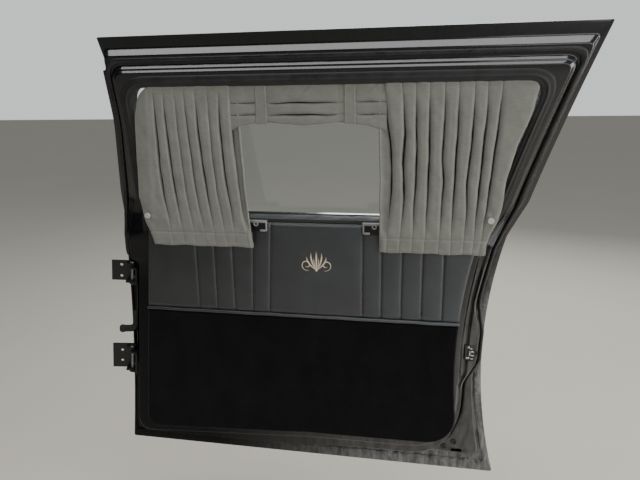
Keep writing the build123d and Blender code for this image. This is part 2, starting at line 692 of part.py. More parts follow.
def bolt_cuts(x):
    """Two bolt holes above each other through a leaf plate at x."""
    drill = Rot(0, 90, 0) * Cylinder(BOLT_RADIUS, 4 * LEAF)
    return Pos(x, 0, BOLT_PITCH / 2) * drill + Pos(x, 0, -BOLT_PITCH / 2) * drill


def pillar_leaf(height):
    """Channel that bolts to the pillar, its two arms outside the door leaf's arms."""
    width = PILLAR_LEAF_INBOARD + PILLAR_LEAF_OUTBOARD
    middle = (PILLAR_LEAF_OUTBOARD - PILLAR_LEAF_INBOARD) / 2
    plate = Pos(-PIN_TO_PILLAR + LEAF / 2, middle, 0) * Box(LEAF, width, height)
    half = height / 2
    reach = -PIN_TO_PILLAR + LEAF / 2
    hole = PIN_RADIUS + PIN_FIT
    arms = leaf_arm(reach, half - LEAF, half, hole) + leaf_arm(reach, -half, LEAF - half, hole)
    return plate + arms - Pos(0, PILLAR_BOLT_Y, 0) * bolt_cuts(-PIN_TO_PILLAR)


def door_leaf(height):
    """Channel that bolts to the door's hinge face."""
    half = height / 2 - LEAF - ARM_GAP
    width = DOOR_LEAF_INBOARD + DOOR_LEAF_OUTBOARD
    middle = (DOOR_LEAF_OUTBOARD - DOOR_LEAF_INBOARD) / 2
    plate = Pos(PIN_TO_DOOR - LEAF / 2, middle, 0) * Box(LEAF, width, 2 * half)
    reach = PIN_TO_DOOR - LEAF / 2
    hole = PIN_RADIUS + PIN_RUNNING
    arms = leaf_arm(reach, half - LEAF, half, hole) + leaf_arm(reach, -half, LEAF - half, hole)
    return plate + arms


def hinge_pin(height):
    """Headed pin through both leaves."""
    shaft = Cylinder(PIN_RADIUS, height + 2 * PIN_END)
    head = Pos(0, 0, height / 2 + PIN_END) * Cylinder(
        PIN_RADIUS + PIN_HEAD_RIM, PIN_HEAD, align=(Align.CENTER, Align.CENTER, Align.MIN)
    )
    return shaft + head


PILLAR_BOLT_Y = (PILLAR_LEAF_OUTBOARD - PILLAR_LEAF_INBOARD) / 2 - BOLT_SHIFT
hinge_low = Pos(PIN_X, PIN_Y, LOWER_HINGE_Z) * Rot(0, HINGE_LEAN, 0)
pitch = HINGE_PITCH / cos(radians(HINGE_LEAN))
hinge_high = hinge_low * Pos(0, 0, pitch)
turned = Rot(0, 0, -OPEN_ANGLE)
lower_hinge_pillar_leaf = hinge_low * turned * pillar_leaf(LOWER_HINGE_HEIGHT)
upper_hinge_pillar_leaf = hinge_high * turned * pillar_leaf(UPPER_HINGE_HEIGHT)
lower_hinge_door_leaf = hinge_low * door_leaf(LOWER_HINGE_HEIGHT)
upper_hinge_door_leaf = hinge_high * door_leaf(UPPER_HINGE_HEIGHT)
lower_hinge_pin = hinge_low * hinge_pin(LOWER_HINGE_HEIGHT)
upper_hinge_pin = hinge_high * hinge_pin(UPPER_HINGE_HEIGHT)

# Rubber boot of the wiring, from the hinge face towards the pillar, and the strip above it
boot_x = hinge_face_x(BOOT_Z) - BOOT_RADIUS - FIT
boot_bend = FilletPolyline(
    (boot_x, BOOT_Y, BOOT_Z),
    (boot_x - BOOT_LEAN, BOOT_Y, BOOT_Z - BOOT_DROP),
    (PIN_X - BOOT_REACH, BOOT_Y + BOOT_SIDE, BOOT_Z - BOOT_DROP - BOOT_DIP),
    radius=BOOT_BEND,
)
elbow = boot_bend.edges().filter_by(GeomType.CIRCLE)[0]
boot_turns = [elbow @ (step / BOOT_STEPS) for step in range(BOOT_STEPS + 1)]
boot_path = Polyline(boot_bend @ 0, *boot_turns, boot_bend @ 1)
boot_ring = Plane(origin=boot_path @ 0, z_dir=boot_path % 0) * Circle(BOOT_RADIUS)
boot_tube = sweep(boot_ring, boot_path, transition=Transition.RIGHT)
collar_plane = Plane(origin=boot_path @ 1, z_dir=boot_path % 1)
wiring_boot = boot_tube + collar_plane * extrude(Circle(BOOT_RADIUS + COLLAR), COLLAR_LENGTH)
strip_top = LOWER_HINGE_Z + HINGE_PITCH - UPPER_HINGE_HEIGHT / 2 - HARNESS_DROP
strip_z = strip_top - HARNESS_LENGTH / 2
strip_x = hinge_face_x(strip_z) - HARNESS / 2 - HARNESS_GAP
harness_strip = Pos(strip_x, BOOT_Y, strip_z) * Rot(0, HINGE_LEAN, 0) * Box(
    HARNESS, HARNESS + HARNESS_RIB, HARNESS_LENGTH
)

# Outer pull handle in its bezel, near the latch edge
handle_x = arch_x(HANDLE_Z) - HANDLE_INSET
handle_y = skin_y(HANDLE_Z)
handle_base = Pos(handle_x, handle_y, HANDLE_Z) * Box(HANDLE_LENGTH, 2 * BEZEL, HANDLE_HEIGHT)
bezel = fillet(handle_base.edges().filter_by(Axis.Y), BEZEL_CORNER)
cup_length = HANDLE_LENGTH - 2 * BEZEL_WALL
cup = Pos(handle_x, handle_y + BEZEL, HANDLE_Z - CUP_DROP) * Box(
    cup_length, 2 * BEZEL, HANDLE_HEIGHT - 2 * BEZEL_WALL
)
cup = fillet(cup.edges().filter_by(Axis.Y), CUP_CORNER)
handle_bezel = bezel - skin_region(FIT) - cup
grip_middle = (handle_x, handle_y + GRIP_REACH, HANDLE_Z + GRIP_RISE)
grip = Pos(*grip_middle) * Box(cup_length - GRIP_CUT, GRIP, GRIP_HEIGHT)
outer_handle = fillet(grip.edges().filter_by(Axis.Y), GRIP_CORNER)

# The origin is the centre of the lower pillar bolts, on the face that meets the pillar
origin = (hinge_low * turned * Pos(-PIN_TO_PILLAR, PILLAR_BOLT_Y, 0)).position
pieces = {
    "outer_skin": outer_skin,
    "inner_panel": inner_panel,
    "window_frame": window_frame,
    "window_seal": window_seal,
    "window_glass": window_glass,
    "door_weatherstrip": door_weatherstrip,
    "belt_rail": belt_rail,
    "inner_belt_seal": inner_belt_seal,
    "outer_belt_moulding": outer_belt_moulding,
    "upper_trim": upper_trim,
    "lower_trim": lower_trim,
    "piping": piping,
    "front_curtain": front_curtain,
    "rear_curtain": rear_curtain,
    "valance": valance,
    "curtain_rail": curtain_rail,
    "front_snap": front_snap,
    "rear_snap": rear_snap,
    "front_belt_clip": front_belt_clip,
    "rear_belt_clip": rear_belt_clip,
    "latch_housing": latch_housing,
    "latch_claw": latch_claw,
    "outer_handle": outer_handle,
    "handle_bezel": handle_bezel,
    "wiring_boot": wiring_boot,
    "harness_strip": harness_strip,
    "upper_hinge_door_leaf": upper_hinge_door_leaf,
    "lower_hinge_door_leaf": lower_hinge_door_leaf,
    "upper_hinge_pillar_leaf": upper_hinge_pillar_leaf,
    "lower_hinge_pillar_leaf": lower_hinge_pillar_leaf,
    "upper_hinge_pin": upper_hinge_pin,
    "lower_hinge_pin": lower_hinge_pin,
}

os.makedirs("parts", exist_ok=True)
for name, piece in pieces.items():
    export_step(Pos(*(-origin)) * piece, f"parts/{name}.step")
print("origin in door axes", origin)
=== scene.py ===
"""Looks of the open rear side door of a hearse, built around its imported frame.

Door axes, in millimetres: X runs from the hinge edge to the latch edge, Y outboard and Z up, with the
bottom edge at Z = 0 and the sill at Z = 735. Shapes are worked out there and moved to the frame's metres.
"""

from math import cos, pi, radians, sin, tan

import bmesh
import bpy
import numpy as np
from mathutils import Matrix, Vector


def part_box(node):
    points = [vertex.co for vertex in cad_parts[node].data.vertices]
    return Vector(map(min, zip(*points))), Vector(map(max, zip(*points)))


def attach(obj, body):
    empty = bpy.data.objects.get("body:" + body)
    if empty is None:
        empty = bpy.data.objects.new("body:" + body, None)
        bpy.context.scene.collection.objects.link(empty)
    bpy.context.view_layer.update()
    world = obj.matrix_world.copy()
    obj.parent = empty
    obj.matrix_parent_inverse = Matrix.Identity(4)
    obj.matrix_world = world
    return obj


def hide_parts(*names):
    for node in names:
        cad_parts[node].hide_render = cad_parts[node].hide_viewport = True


bl_info = {
    "name": "Curtained Car Door",
    "version": (1, 0, 0),
    "blender": (4, 5, 0),
    "location": "View3D > Sidebar > Door",
    "description": "Pressed, painted and upholstered surfaces of a framed car door",
    "category": "Mesh",
}

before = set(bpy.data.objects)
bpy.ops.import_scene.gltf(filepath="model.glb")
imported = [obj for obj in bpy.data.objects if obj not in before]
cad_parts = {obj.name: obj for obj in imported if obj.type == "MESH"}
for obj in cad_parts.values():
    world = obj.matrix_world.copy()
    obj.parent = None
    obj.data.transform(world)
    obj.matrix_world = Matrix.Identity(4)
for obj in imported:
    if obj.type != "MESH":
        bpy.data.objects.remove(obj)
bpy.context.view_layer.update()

# Door axes, in millimetres
LATCH_LOW = (957.98, 14.0, 376.0)  # low corner of the latch, which ties door axes to the frame
ORIGIN = np.array(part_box("latch_housing")[0]) - np.array(LATCH_LOW) / 1000
SILL = 735.0
FOOT_X = -50.0  # front corner of the foot
FRONT_LEAN = radians(4)
ARCH_MIDDLE, ARCH_RADIUS = (2430.0, 360.0), 1420.0  # arc of the rear edge, its middle as (x, z)
PIN_LEAN = radians(6)
LOWER_PIN = (-4.0, 45.0, 290.0)
PIN_TO_FACE, PIN_PITCH = 27.0, 272.0  # pins to the panel's hinge face, and from pin to pin
SKIN_FOOT_Y, SKIN_LEAN, SKIN_BULGE = 86.0, 8.0, 22.0
LEAN = radians(12)  # the window frame leans inboard
RISE = 460 / cos(LEAN)  # slanted height of the window frame
FRAME_Y = 70.0  # outer face of the window frame at the sill
REAR_X, REAR_RUN, REAR_BOW = 1078.0, 139.0, 20.0  # rear upright: foot, run to its top, and bow
FRONT_X, FRONT_RUN = 1.4, 34.6  # front upright: foot, and run to the kink
KINK_RISE = 262.0  # height on the frame where its front edge turns upright
HEADER_DEPTH = 75.0  # height of the header beyond the front edge's notch
NOTCH, NOTCH_FALL = 16.0, 14.0  # step of the header ahead of the front upright, and its loss to the top
OPENING = (85.0, 115.0, 78.0)  # insets of the window opening at rear, top and front
RECESS_Z = 610.0  # top of the hinge recess
PIPING_Z = 481.0
CLOTH_TOP_Z = 1078.9
CLOTH_HEM_Z = 674.5
LATCH_Z = 397.0
INBOARD = (0.0, -1.0, 0.0)

# Camera
CAMERA_PLACE = (833, -1350, 1055)
CAMERA_TURN, CAMERA_TIP, CAMERA_TILT = radians(10.55), radians(75.15), radians(-0.87)


def to_frame(points):
    """Door axes in millimetres to the frame's metres."""
    return np.asarray(points, float) / 1000 + ORIGIN


def from_frame(points):
    """The frame's metres to door axes in millimetres."""
    return (np.asarray(points, float) - ORIGIN) * 1000


def xyz(x, y, z):
    """Points from three arrays or numbers that fit together."""
    return np.stack(np.broadcast_arrays(x, y, z), -1)


def front_x(z):
    """Outer front edge below the sill, which leans back in a straight line."""
    return FOOT_X + z * tan(FRONT_LEAN)


def arch_x(z):
    """Rear edge below the sill: an arc that is foremost at the height of its middle."""
    return ARCH_MIDDLE[0] - np.sqrt(ARCH_RADIUS**2 - (z - ARCH_MIDDLE[1]) ** 2)


def hinge_x(z):
    """Front face of the inner panel, parallel to the leaning hinge pins."""
    return LOWER_PIN[0] + PIN_TO_FACE / cos(PIN_LEAN) + (z - LOWER_PIN[2]) * tan(PIN_LEAN)


def skin_y(z):
    """Outer surface of the skin: a line between foot and sill, and a parabola on it."""
    share = z / SILL
    return SKIN_FOOT_Y - SKIN_LEAN * share + 4 * SKIN_BULGE * share * (1 - share)


def on_frame(x, height, depth):
    """Points on the leaning window frame, from height above the sill and depth inboard."""
    y = FRAME_Y - height * sin(LEAN) - depth * cos(LEAN)
    return xyz(x, y, SILL + height * cos(LEAN) - depth * sin(LEAN))


def waves(along, lengths, seed):
    """Sum of sine waves of these lengths with seeded phases, between -1 and 1."""
    phases = np.random.default_rng(seed).uniform(0, 2 * pi, len(lengths))
    return sum(np.sin(2 * pi * along / size + phase) for size, phase in zip(lengths, phases)) / len(lengths)


def roll(distance, width):
    """Quarter-round rise from 0 at distance 0 to 1 at width."""
    share = np.clip(distance / width, 0, 1)
    return np.sqrt(1 - (1 - share) ** 2)


def ramp_up(value, low, high):
    """Smooth step from 0 below low to 1 above high."""
    share = np.clip((value - low) / (high - low), 0, 1)
    return share * share * (3 - 2 * share)


def bell(value, middle, width):
    """Bell curve of height 1."""
    return np.exp(-(((value - middle) / width) ** 2))


def grime_and_reflection(points):
    """Dirt and painted floor reflection by place: heaviest outboard at the lower rear, next to none at the
    front and above.
    """
    x, y, z = np.moveaxis(points, -1, 0)
    # Painted reflection as well as dirt: this lightens the paint outboard and towards the rear, where the
    # floor's reflection is bright.
    outboard = np.interp(y, (0, 14, 40, 70, 80), (0.1, 0.15, 0.14, 0.3, 0.8))
    return outboard * ramp_up(x, 220, 780) * (1 - ramp_up(z, 430, 640))


# Meshes

def grid_cells(rows, columns, wrap_rows=False, wrap_columns=False):
    """Four corners of every cell of a grid whose points are numbered row by row."""
    r = np.arange(rows - (not wrap_rows))[:, None]
    c = np.arange(columns - (not wrap_columns))[None]
    below, beside = (r + 1) % rows, (c + 1) % columns
    corners = [r * columns + c, r * columns + beside, below * columns + beside, below * columns + c]
    return np.stack(corners, -1).reshape(-1, 4)


def surface(points, wrap_rows=False, wrap_columns=False, uv=None):
    """Shell of a grid of points (rows, columns, 3): its points, its faces and its flat map."""
    rows, columns = points.shape[:2]
    cells = grid_cells(rows, columns, wrap_rows, wrap_columns).tolist()
    flat_uv = np.zeros((rows * columns, 2)) if uv is None else uv.reshape(-1, 2)
    return points.reshape(-1, 3), cells, flat_uv


def tube(points, uv=None):
    """Closed shell of a row of rings, with one flat face on the first and one on the last."""
    flat, cells, flat_uv = surface(points, wrap_columns=True, uv=uv)
    rows, columns = points.shape[:2]
    return flat, cells + [list(range(columns)), list(range((rows - 1) * columns, rows * columns))], flat_uv


def wrapped(points):
    """Shell of a grid that closes on itself both ways."""
    return surface(points, wrap_rows=True, wrap_columns=True)


def hung(points):
    """Open shell of a hanging cloth, its flat map the one seen from inside."""
    return surface(points, uv=points[..., [0, 2]] / 1000)


def placed(name, data):
    """New object in the scene, at the origin."""
    thing = bpy.data.objects.new(name, data)
    bpy.context.scene.collection.objects.link(thing)
    return thing


def make(name, shells, material, body="door", replaces=(), crease=40, weld=0.0, mask=None):
    """One object from several shells in door axes, faces outward, smooth up to a crease angle."""
    points = to_frame(np.concatenate([shell[0] for shell in shells]))
    starts = np.cumsum([0] + [len(shell[0]) for shell in shells]).tolist()
    cells = []
    for start, shell in zip(starts, shells):
        cells += [[corner + start for corner in cell] for cell in shell[1]]
    mesh = bpy.data.meshes.new(name)
    mesh.from_pydata(points.tolist(), [], cells)
    uv = np.concatenate([shell[2] for shell in shells])
    corner_point = np.zeros(len(mesh.loops), int)
    mesh.loops.foreach_get("vertex_index", corner_point)
    mesh.uv_layers.new(name="flat").data.foreach_set("uv", uv[corner_point].ravel())
    if mask is not None:
        mesh.attributes.new("mask", "FLOAT", "POINT").data.foreach_set("value", mask.ravel())
    work = bmesh.new()
    work.from_mesh(mesh)
    if weld:
        bmesh.ops.remove_doubles(work, verts=work.verts, dist=weld / 1000)
    bmesh.ops.recalc_face_normals(work, faces=work.faces)
    work.to_mesh(mesh)
    work.free()
    mesh.shade_smooth()
    mesh.set_sharp_from_angle(angle=radians(crease))
    mesh.materials.append(material)
    piece = placed(name, mesh)
    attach(piece, body)
    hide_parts(*replaces)
    return piece


def normalised(vectors):
    """Vectors of length 1."""
    return vectors / np.maximum(np.linalg.norm(vectors, axis=-1, keepdims=True), 1e-9)


def run_along(path):
    """Length along a path up to each of its points."""
    return np.concatenate([[0], np.cumsum(np.linalg.norm(np.diff(path, axis=0), axis=1))])


def bend(start, middle, end, share):
    """Quadratic curve from start to end, pulled towards middle."""
    return (1 - share) ** 2 * start + 2 * share * (1 - share) * middle + share**2 * end


def circle(count):
    """Angles once round."""
    return np.linspace(0, 2 * pi, count, endpoint=False)


def side_shares(counts):
    """Shares from 0 up to 1, which the next side begins with, for each side of a loop."""
    return [np.linspace(0, 1, count, endpoint=False) for count in counts]


def sweep(path, across, out, facing):
    """Profile (across, out) carried along an open path: out points along facing, across is square to it.

    across and out are one row of values for all of the path, or a row for each of its points.
    """
    tangent = normalised(np.gradient(path, axis=0))
    side = normalised(np.cross(tangent, np.broadcast_to(facing, path.shape)))
    up = np.cross(side, tangent)
    across, out = np.atleast_2d(across), np.atleast_2d(out)
    return path[:, None] + across[..., None] * side[:, None] + out[..., None] * up[:, None]


def cord(path, radius, count, tall=1.0):
    """Round tube along a path that runs in the plane of the door, of this radius at each of its points."""
    angle = circle(count)
    across, out = radius[:, None] * np.cos(angle), radius[:, None] * np.sin(angle) * tall
    return tube(sweep(path, across, out, INBOARD))


def revolve(profile, count, middle, axis=INBOARD):
    """Profile rows (radius, height) turned about an axis from middle, from its foot to its top."""
    axis = np.array(axis, float) / np.linalg.norm(axis)
    first = normalised(np.cross((0.0, 0.0, 1.0), axis))
    angle = circle(count)[:, None]
    ring = np.cos(angle) * first + np.sin(angle) * np.cross(axis, first)
    profile = np.array(profile, float)
    return tube(profile[:, :1, None] * ring + profile[:, 1:, None] * axis + np.array(middle, float))


def raised(flat, height, middle):
    """Outline of rows (x, z) about a middle, raised inboard by height."""
    return xyz(flat[:, 0], -height, flat[:, 1]) + np.array(middle, float)


def plate(outline, levels, middle):
    """Stack of copies of an outline about its middle, facing inboard: levels are rows (shrink, height)."""
    reach = np.abs(outline).max(0)
    rings = [raised(outline * (1 - shrink / reach), height, middle) for shrink, height in levels]
    return tube(np.array(rings))


def rounded_box(width, height, corner, steps=5):
    """Outline of a rectangle about its middle, each corner an arc."""
    turn = np.linspace(0, pi / 2, steps)
    arcs = []
    for quarter, (side, rise) in enumerate(((1, 1), (-1, 1), (-1, -1), (1, -1))):
        angle = turn + quarter * pi / 2
        x = side * (width / 2 - corner) + corner * np.cos(angle)
        arcs.append(np.stack([x, rise * (height / 2 - corner) + corner * np.sin(angle)], -1))
    return np.concatenate(arcs)


def rounded(sharp, corners, widest, base):
    """Closed loop with soft corners: each point becomes the mean of the loop over a reach to both sides.

    The reach is base along the sides and grows to widest[i] at corner i. The mean is the exact integral
    of the straight pieces between points.
    """
    points = np.concatenate([sharp, sharp[:1]])
    place = run_along(points)
    length, total = np.diff(place)[:, None], place[-1]
    area = np.concatenate([np.zeros((1, 3)), np.cumsum((points[1:] + points[:-1]) / 2 * length, 0)])
    reach = np.full(len(sharp), float(base))
    for corner, most in zip(corners, widest):
        gap = np.abs(place[:-1] - place[corner])
        gap = np.minimum(gap, total - gap)
        reach = np.maximum(reach, np.clip(2 * most - gap, base, most) if most > base else base)

    def integral(at):
        """Integral of the loop from its start to a length along it."""
        laps, rest = np.divmod(at, total)
        start = np.clip(np.searchsorted(place, rest, side="right") - 1, 0, len(sharp) - 1)
        step = (rest - place[start])[:, None]
        slope = (points[start + 1] - points[start]) / length[start]
        return laps[:, None] * area[-1] + area[start] + points[start] * step + slope * step**2 / 2

    here = place[:-1]
    return (integral(here + reach) - integral(here - reach)) / (2 * reach[:, None])


def soften(sections, radii, steps):
    """Sections (rows, corners, 3), closed, with each corner turned into a short quadratic curve."""
    ends = []
    for neighbour in (np.roll(sections, 1, 1), np.roll(sections, -1, 1)):
        way = neighbour - sections
        reach = np.minimum(np.array(radii), 0.48 * np.linalg.norm(way, axis=-1))
        ends.append((sections + reach[..., None] * normalised(way))[:, :, None])
    curve = bend(ends[0], sections[:, :, None], ends[1], np.linspace(0, 1, steps)[:, None])
    return curve.reshape(len(sections), -1, 3)


# Finishes

def finish(name, colour, roughness, **sockets):
    """Material with one principled shader, its even values on the shader's own sockets."""
    material = bpy.data.materials.new(name)
    material.use_nodes = True
    shader = material.node_tree.nodes["Principled BSDF"]
    values = {"Base Color": (*colour, 1.0), "Roughness": roughness, **sockets}
    for socket, value in values.items():
        shader.inputs[socket].default_value = value
    return material


def scaled(colour, factor):
    """Colour made lighter or darker."""
    return tuple(factor * part for part in colour)


def add(owner, kind, inputs=None, **settings):
    """New shader node of a material or world. Inputs that are sockets get linked, others set."""
    made = owner.node_tree.nodes.new("ShaderNode" + kind)
    for key, value in settings.items():
        setattr(made, key, value)
    for key, value in (inputs or {}).items():
        if isinstance(value, bpy.types.NodeSocket):
            owner.node_tree.links.new(value, made.inputs[key])
        else:
            made.inputs[key].default_value = value
    return made


def feed(material, socket, value):
    """Links a value to a socket of the material's shader."""
    shader = material.node_tree.nodes["Principled BSDF"]
    material.node_tree.links.new(value, shader.inputs[socket])


def places(material, scale=(1, 1, 1)):
    """Object coordinates in metres, stretched by scale."""
    spot = add(material, "TexCoord").outputs["Object"]
    return add(material, "Mapping", {"Vector": spot, "Scale": scale}).outputs["Vector"]


def flat_places(material, scale=(1, 1, 1)):
    """The piece's own flat map, in metres along and across, stretched by scale."""
    spot = add(material, "UVMap", uv_map="flat").outputs["UV"]
    return add(material, "Mapping", {"Vector": spot, "Scale": scale}).outputs["Vector"]


def noise(material, vector, scale, detail=3.0, rough=0.5):
    """Noise value between 0 and 1, scale in features per metre."""
    settings = {"Vector": vector, "Scale": scale, "Detail": detail, "Roughness": rough}
    return add(material, "TexNoise", settings).outputs["Fac"]


def mask_of(material):
    """The mesh's mask attribute."""
    return add(material, "Attribute", attribute_name="mask").outputs["Fac"]


def axes_of(owner, vector):
    """X, Y and Z of a vector."""
    return add(owner, "SeparateXYZ", {0: vector}).outputs


def spread(owner, value, low, high, start=0.0, end=1.0):
    """Value mapped from low..high to start..end and held there."""
    settings = {"Value": value, "From Min": low, "From Max": high, "To Min": start, "To Max": end}
    return add(owner, "MapRange", settings).outputs["Result"]


def maths(owner, kind, first, second):
    """Two values joined by one operation."""
    return add(owner, "Math", {0: first, 1: second}, operation=kind).outputs[0]


def plus(material, first, second):
    """Sum of two values."""
    return maths(material, "ADD", first, second)


def times(material, first, second):
    """Product of two values."""
    return maths(material, "MULTIPLY", first, second)


def tint(owner, share, *ends):
    """Colour between two ends, each a colour or a socket."""
    first, second = (end if isinstance(end, bpy.types.NodeSocket) else (*end, 1.0) for end in ends)
    return add(owner, "Mix", {0: share, 6: first, 7: second}, data_type="RGBA").outputs[2]


def colour_by(material, value, low, high, first, second, most=1.0):
    """Base colour that goes from first to second while the value rises from low to high."""
    feed(material, "Base Color", tint(material, spread(material, value, low, high, 0, most), first, second))


def roughness_by(material, value, low, high, start, end):
    """Roughness that goes from start to end while the value rises from low to high."""
    feed(material, "Roughness", spread(material, value, low, high, start, end))


def bump(material, height, distance, strength=1.0):
    """Feeds a height to the shader's normal, distance in metres."""
    settings = {"Height": height, "Distance": distance, "Strength": strength}
    feed(material, "Normal", add(material, "Bump", settings).outputs["Normal"])


def paint(name, colour, dust):
    """Gloss enamel with settled specks. The mask of a mesh says how much dirt and painted floor reflection
    lie on it.

    Where the mask is heaviest, on flange and hem, brushed sealer lies in lumps under the paint. Towards the
    lower front edge the coat and shine fade and the paint stays darker, a painted shade where its reflections
    are dark.
    """
    coat = {"Coat Weight": 1.0, "Coat Roughness": 0.04, "Specular IOR Level": 0.3}
    made = finish(name, colour, 0.3, **coat)
    spot = places(made)
    haze = noise(made, spot, 9, 4, 0.6)
    specks = noise(made, spot, 900, 2, 0.7)
    settled = times(made, spread(made, specks, 0.58, 0.74), spread(made, haze, 0.35, 0.7, 0.1, 1))
    axes = axes_of(made, spot)
    # Painted shade: towards the lower front edge the coat, the specular level and the grey all fade, so the
    # paint reads darker there.
    low = spread(made, axes["Z"], ORIGIN[2] + 0.5, ORIGIN[2] + 0.8, 0.05, 1)
    gloss_and_shade = maths(made, "MAXIMUM", low, spread(made, axes["X"], 0.28, 0.76, 0.2, 1))
    grime_and_reflection_film = mask_of(made)
    sealed = spread(made, grime_and_reflection_film, 0.3, 0.48)
    streaks = noise(made, places(made, (1, 1, 0.3)), 48, 3, 0.6)
    grime_and_reflection_film = times(made, grime_and_reflection_film, spread(made, streaks, 0.36, 0.62, 0.2, 1))
    cover = times(made, maths(made, "MAXIMUM", times(made, settled, dust), grime_and_reflection_film), gloss_and_shade)
    # The grey stands for dust, dirt and painted reflection of the floor, held back at the lower front as
    # painted shade.
    feed(made, "Base Color", tint(made, cover, colour, (0.3, 0.3, 0.295)))
    smear = noise(made, places(made, (1, 1, 0.25)), 55, 5, 0.65)
    feed(made, "Roughness", plus(made, spread(made, smear, 0.3, 0.8, 0.24, 0.36), times(made, cover, 0.3)))
    feed(made, "Coat Weight", times(made, spread(made, cover, 0, 0.8, 1, 0.55), gloss_and_shade))
    feed(made, "Specular IOR Level", times(made, gloss_and_shade, 0.3))
    lumps = times(made, noise(made, spot, 110, 5, 0.65), sealed)
    fine = times(made, noise(made, spot, 260, 2, 0.5), 0.005)
    bump(made, plus(made, lumps, fine), 0.011)
    return made


def rubber(name="moulded_rubber", smooth=0.45):
    """Rubber, greyed in patches, with a fine moulded grain; smooth is its least roughness."""
    made = finish(name, (0.011, 0.011, 0.012), 0.6, **{"Specular IOR Level": 0.42})
    spot = places(made)
    patch = noise(made, spot, 28, 5, 0.62)
    colour_by(made, patch, 0.35, 0.75, (0.009, 0.009, 0.01), (0.026, 0.026, 0.027))
    roughness_by(made, patch, 0.3, 0.75, smooth, smooth + 0.27)
    bump(made, noise(made, spot, 1600, 2, 0.6), 0.0002, 0.5)
    return made


def vinyl(name, colour, roughness):
    """Leather-grained vinyl: cells of about 1.3 mm with raised middles, lighter to the rear in painted light,
    and worn.
    """
    made = finish(name, colour, roughness, **{"Specular IOR Level": 0.7, "Sheen Weight": 0.06})
    spot = places(made)
    settings = {"Vector": spot, "Scale": 780.0, "Randomness": 0.95}
    cells = add(made, "TexVoronoi", settings, feature="DISTANCE_TO_EDGE").outputs["Distance"]
    wear = noise(made, spot, 14, 5, 0.6)
    # Painted light: the colour lightens towards the rear, as if lit by the lamp on the right.
    painted_light_to_rear = spread(made, axes_of(made, spot)["X"], 0.1, 1.0, 0, 0.75)
    share = plus(made, painted_light_to_rear, spread(made, wear, 0.35, 0.7, 0, 0.25))
    feed(made, "Base Color", tint(made, share, scaled(colour, 0.55), scaled(colour, 3.2)))
    roughness_by(made, wear, 0.3, 0.75, roughness - 0.05, roughness + 0.1)
    fine = times(made, noise(made, spot, 2600, 2, 0.6), 0.35)
    bump(made, plus(made, spread(made, cells, 0, 0.28), fine), 0.00016, 0.6)
    return made


def carpet_pile():
    """Short black pile: tufts of about 1.5 mm, brushed into lighter and darker patches."""
    sheen = {"Sheen Weight": 0.12, "Sheen Roughness": 0.4, "Specular IOR Level": 0.1}
    made = finish("black_carpet", (0.0035, 0.0035, 0.0045), 0.95, **sheen)
    tufts = noise(made, places(made), 700, 3, 0.75)
    brushed = noise(made, places(made, (1, 1, 0.6)), 16, 5, 0.6)
    share = plus(made, times(made, tufts, 0.6), times(made, brushed, 0.4))
    colour_by(made, share, 0.35, 0.7, (0.0018, 0.0018, 0.0024), (0.0085, 0.0085, 0.0105))
    bump(made, tufts, 0.0012, 0.9)
    return made


def curtain_cloth(colour):
    """Brushed curtain cloth: close weave on its own map, soft nap, faint slubs and painted shade in the deep
    folds.
    """
    sheen = {"Sheen Weight": 0.35, "Sheen Roughness": 0.45, "Specular IOR Level": 0.15}
    made = finish("grey_curtain", colour, 0.92, **sheen)
    weave = {"Scale": 330.0, "Distortion": 1.2, "Detail": 1.0, "Detail Scale": 3.0}
    thread = {**weave, "Vector": flat_places(made)}
    warp, weft = (add(made, "TexWave", thread, bands_direction=way).outputs["Fac"] for way in "XY")
    slubs = noise(made, flat_places(made, (1, 6, 1)), 60, 4, 0.6)
    nap = noise(made, places(made), 24, 5, 0.65)
    share = spread(made, plus(made, times(made, slubs, 0.45), times(made, nap, 0.55)), 0.3, 0.7)
    mottled = tint(made, share, scaled(colour, 0.84), scaled(colour, 1.2))
    # The mask paints the cloth near black in the deep folds: painted shade.
    feed(made, "Base Color", tint(made, mask_of(made), mottled, (0.006, 0.006, 0.005)))
    bump(made, plus(made, times(made, warp, weft), times(made, nap, 0.8)), 0.00025, 0.5)
    return made


def clear_glass():
    """Thin tempered glass, faintly green, with streaks left by wiping."""
    made = finish("window_glass", (0.93, 0.98, 0.95), 0.0, **{"Transmission Weight": 1.0, "IOR": 1.45})
    roughness_by(made, noise(made, places(made, (1, 1, 0.2)), 30, 5, 0.6), 0.4, 0.8, 0.0, 0.06)
    return made


def steel(name, colour, roughness, metallic, rust):
    """Worn steel: fine scratches, greasy patches and a little rust in the pits."""
    made = finish(name, colour, roughness, Metallic=metallic)
    patch = noise(made, places(made), 130, 6, 0.65)
    scratch = noise(made, places(made, (1, 1, 8)), 240, 4, 0.7)
    colour_by(made, patch, 0.52, 0.78, colour, (0.09, 0.045, 0.025), rust)
    roughness_by(made, scratch, 0.25, 0.8, roughness - 0.1, roughness + 0.18)
    bump(made, plus(made, scratch, patch), 0.0002, 0.3)
    return made


def moulded_plastic(name, colour, roughness):
    """Moulded plastic with a fine spark-eroded grain and dulled patches."""
    made = finish(name, colour, roughness)
    spot = places(made)
    patch = noise(made, spot, 60, 4, 0.6)
    colour_by(made, patch, 0.3, 0.75, colour, scaled(colour, 1.3))
    roughness_by(made, patch, 0.3, 0.7, roughness - 0.06, roughness + 0.12)
    bump(made, noise(made, spot, 2200, 2, 0.5), 0.00012, 0.5)
    return made


def seam_thread():
    """Dark twisted thread, lighter in patches."""
    made = finish("seam_thread", (0.03, 0.032, 0.036), 0.5, **{"Sheen Weight": 0.4})
    shade = noise(made, places(made), 900, 2, 0.6)
    feed(made, "Base Color", tint(made, shade, (0.018, 0.019, 0.021), (0.05, 0.052, 0.056)))
    return made


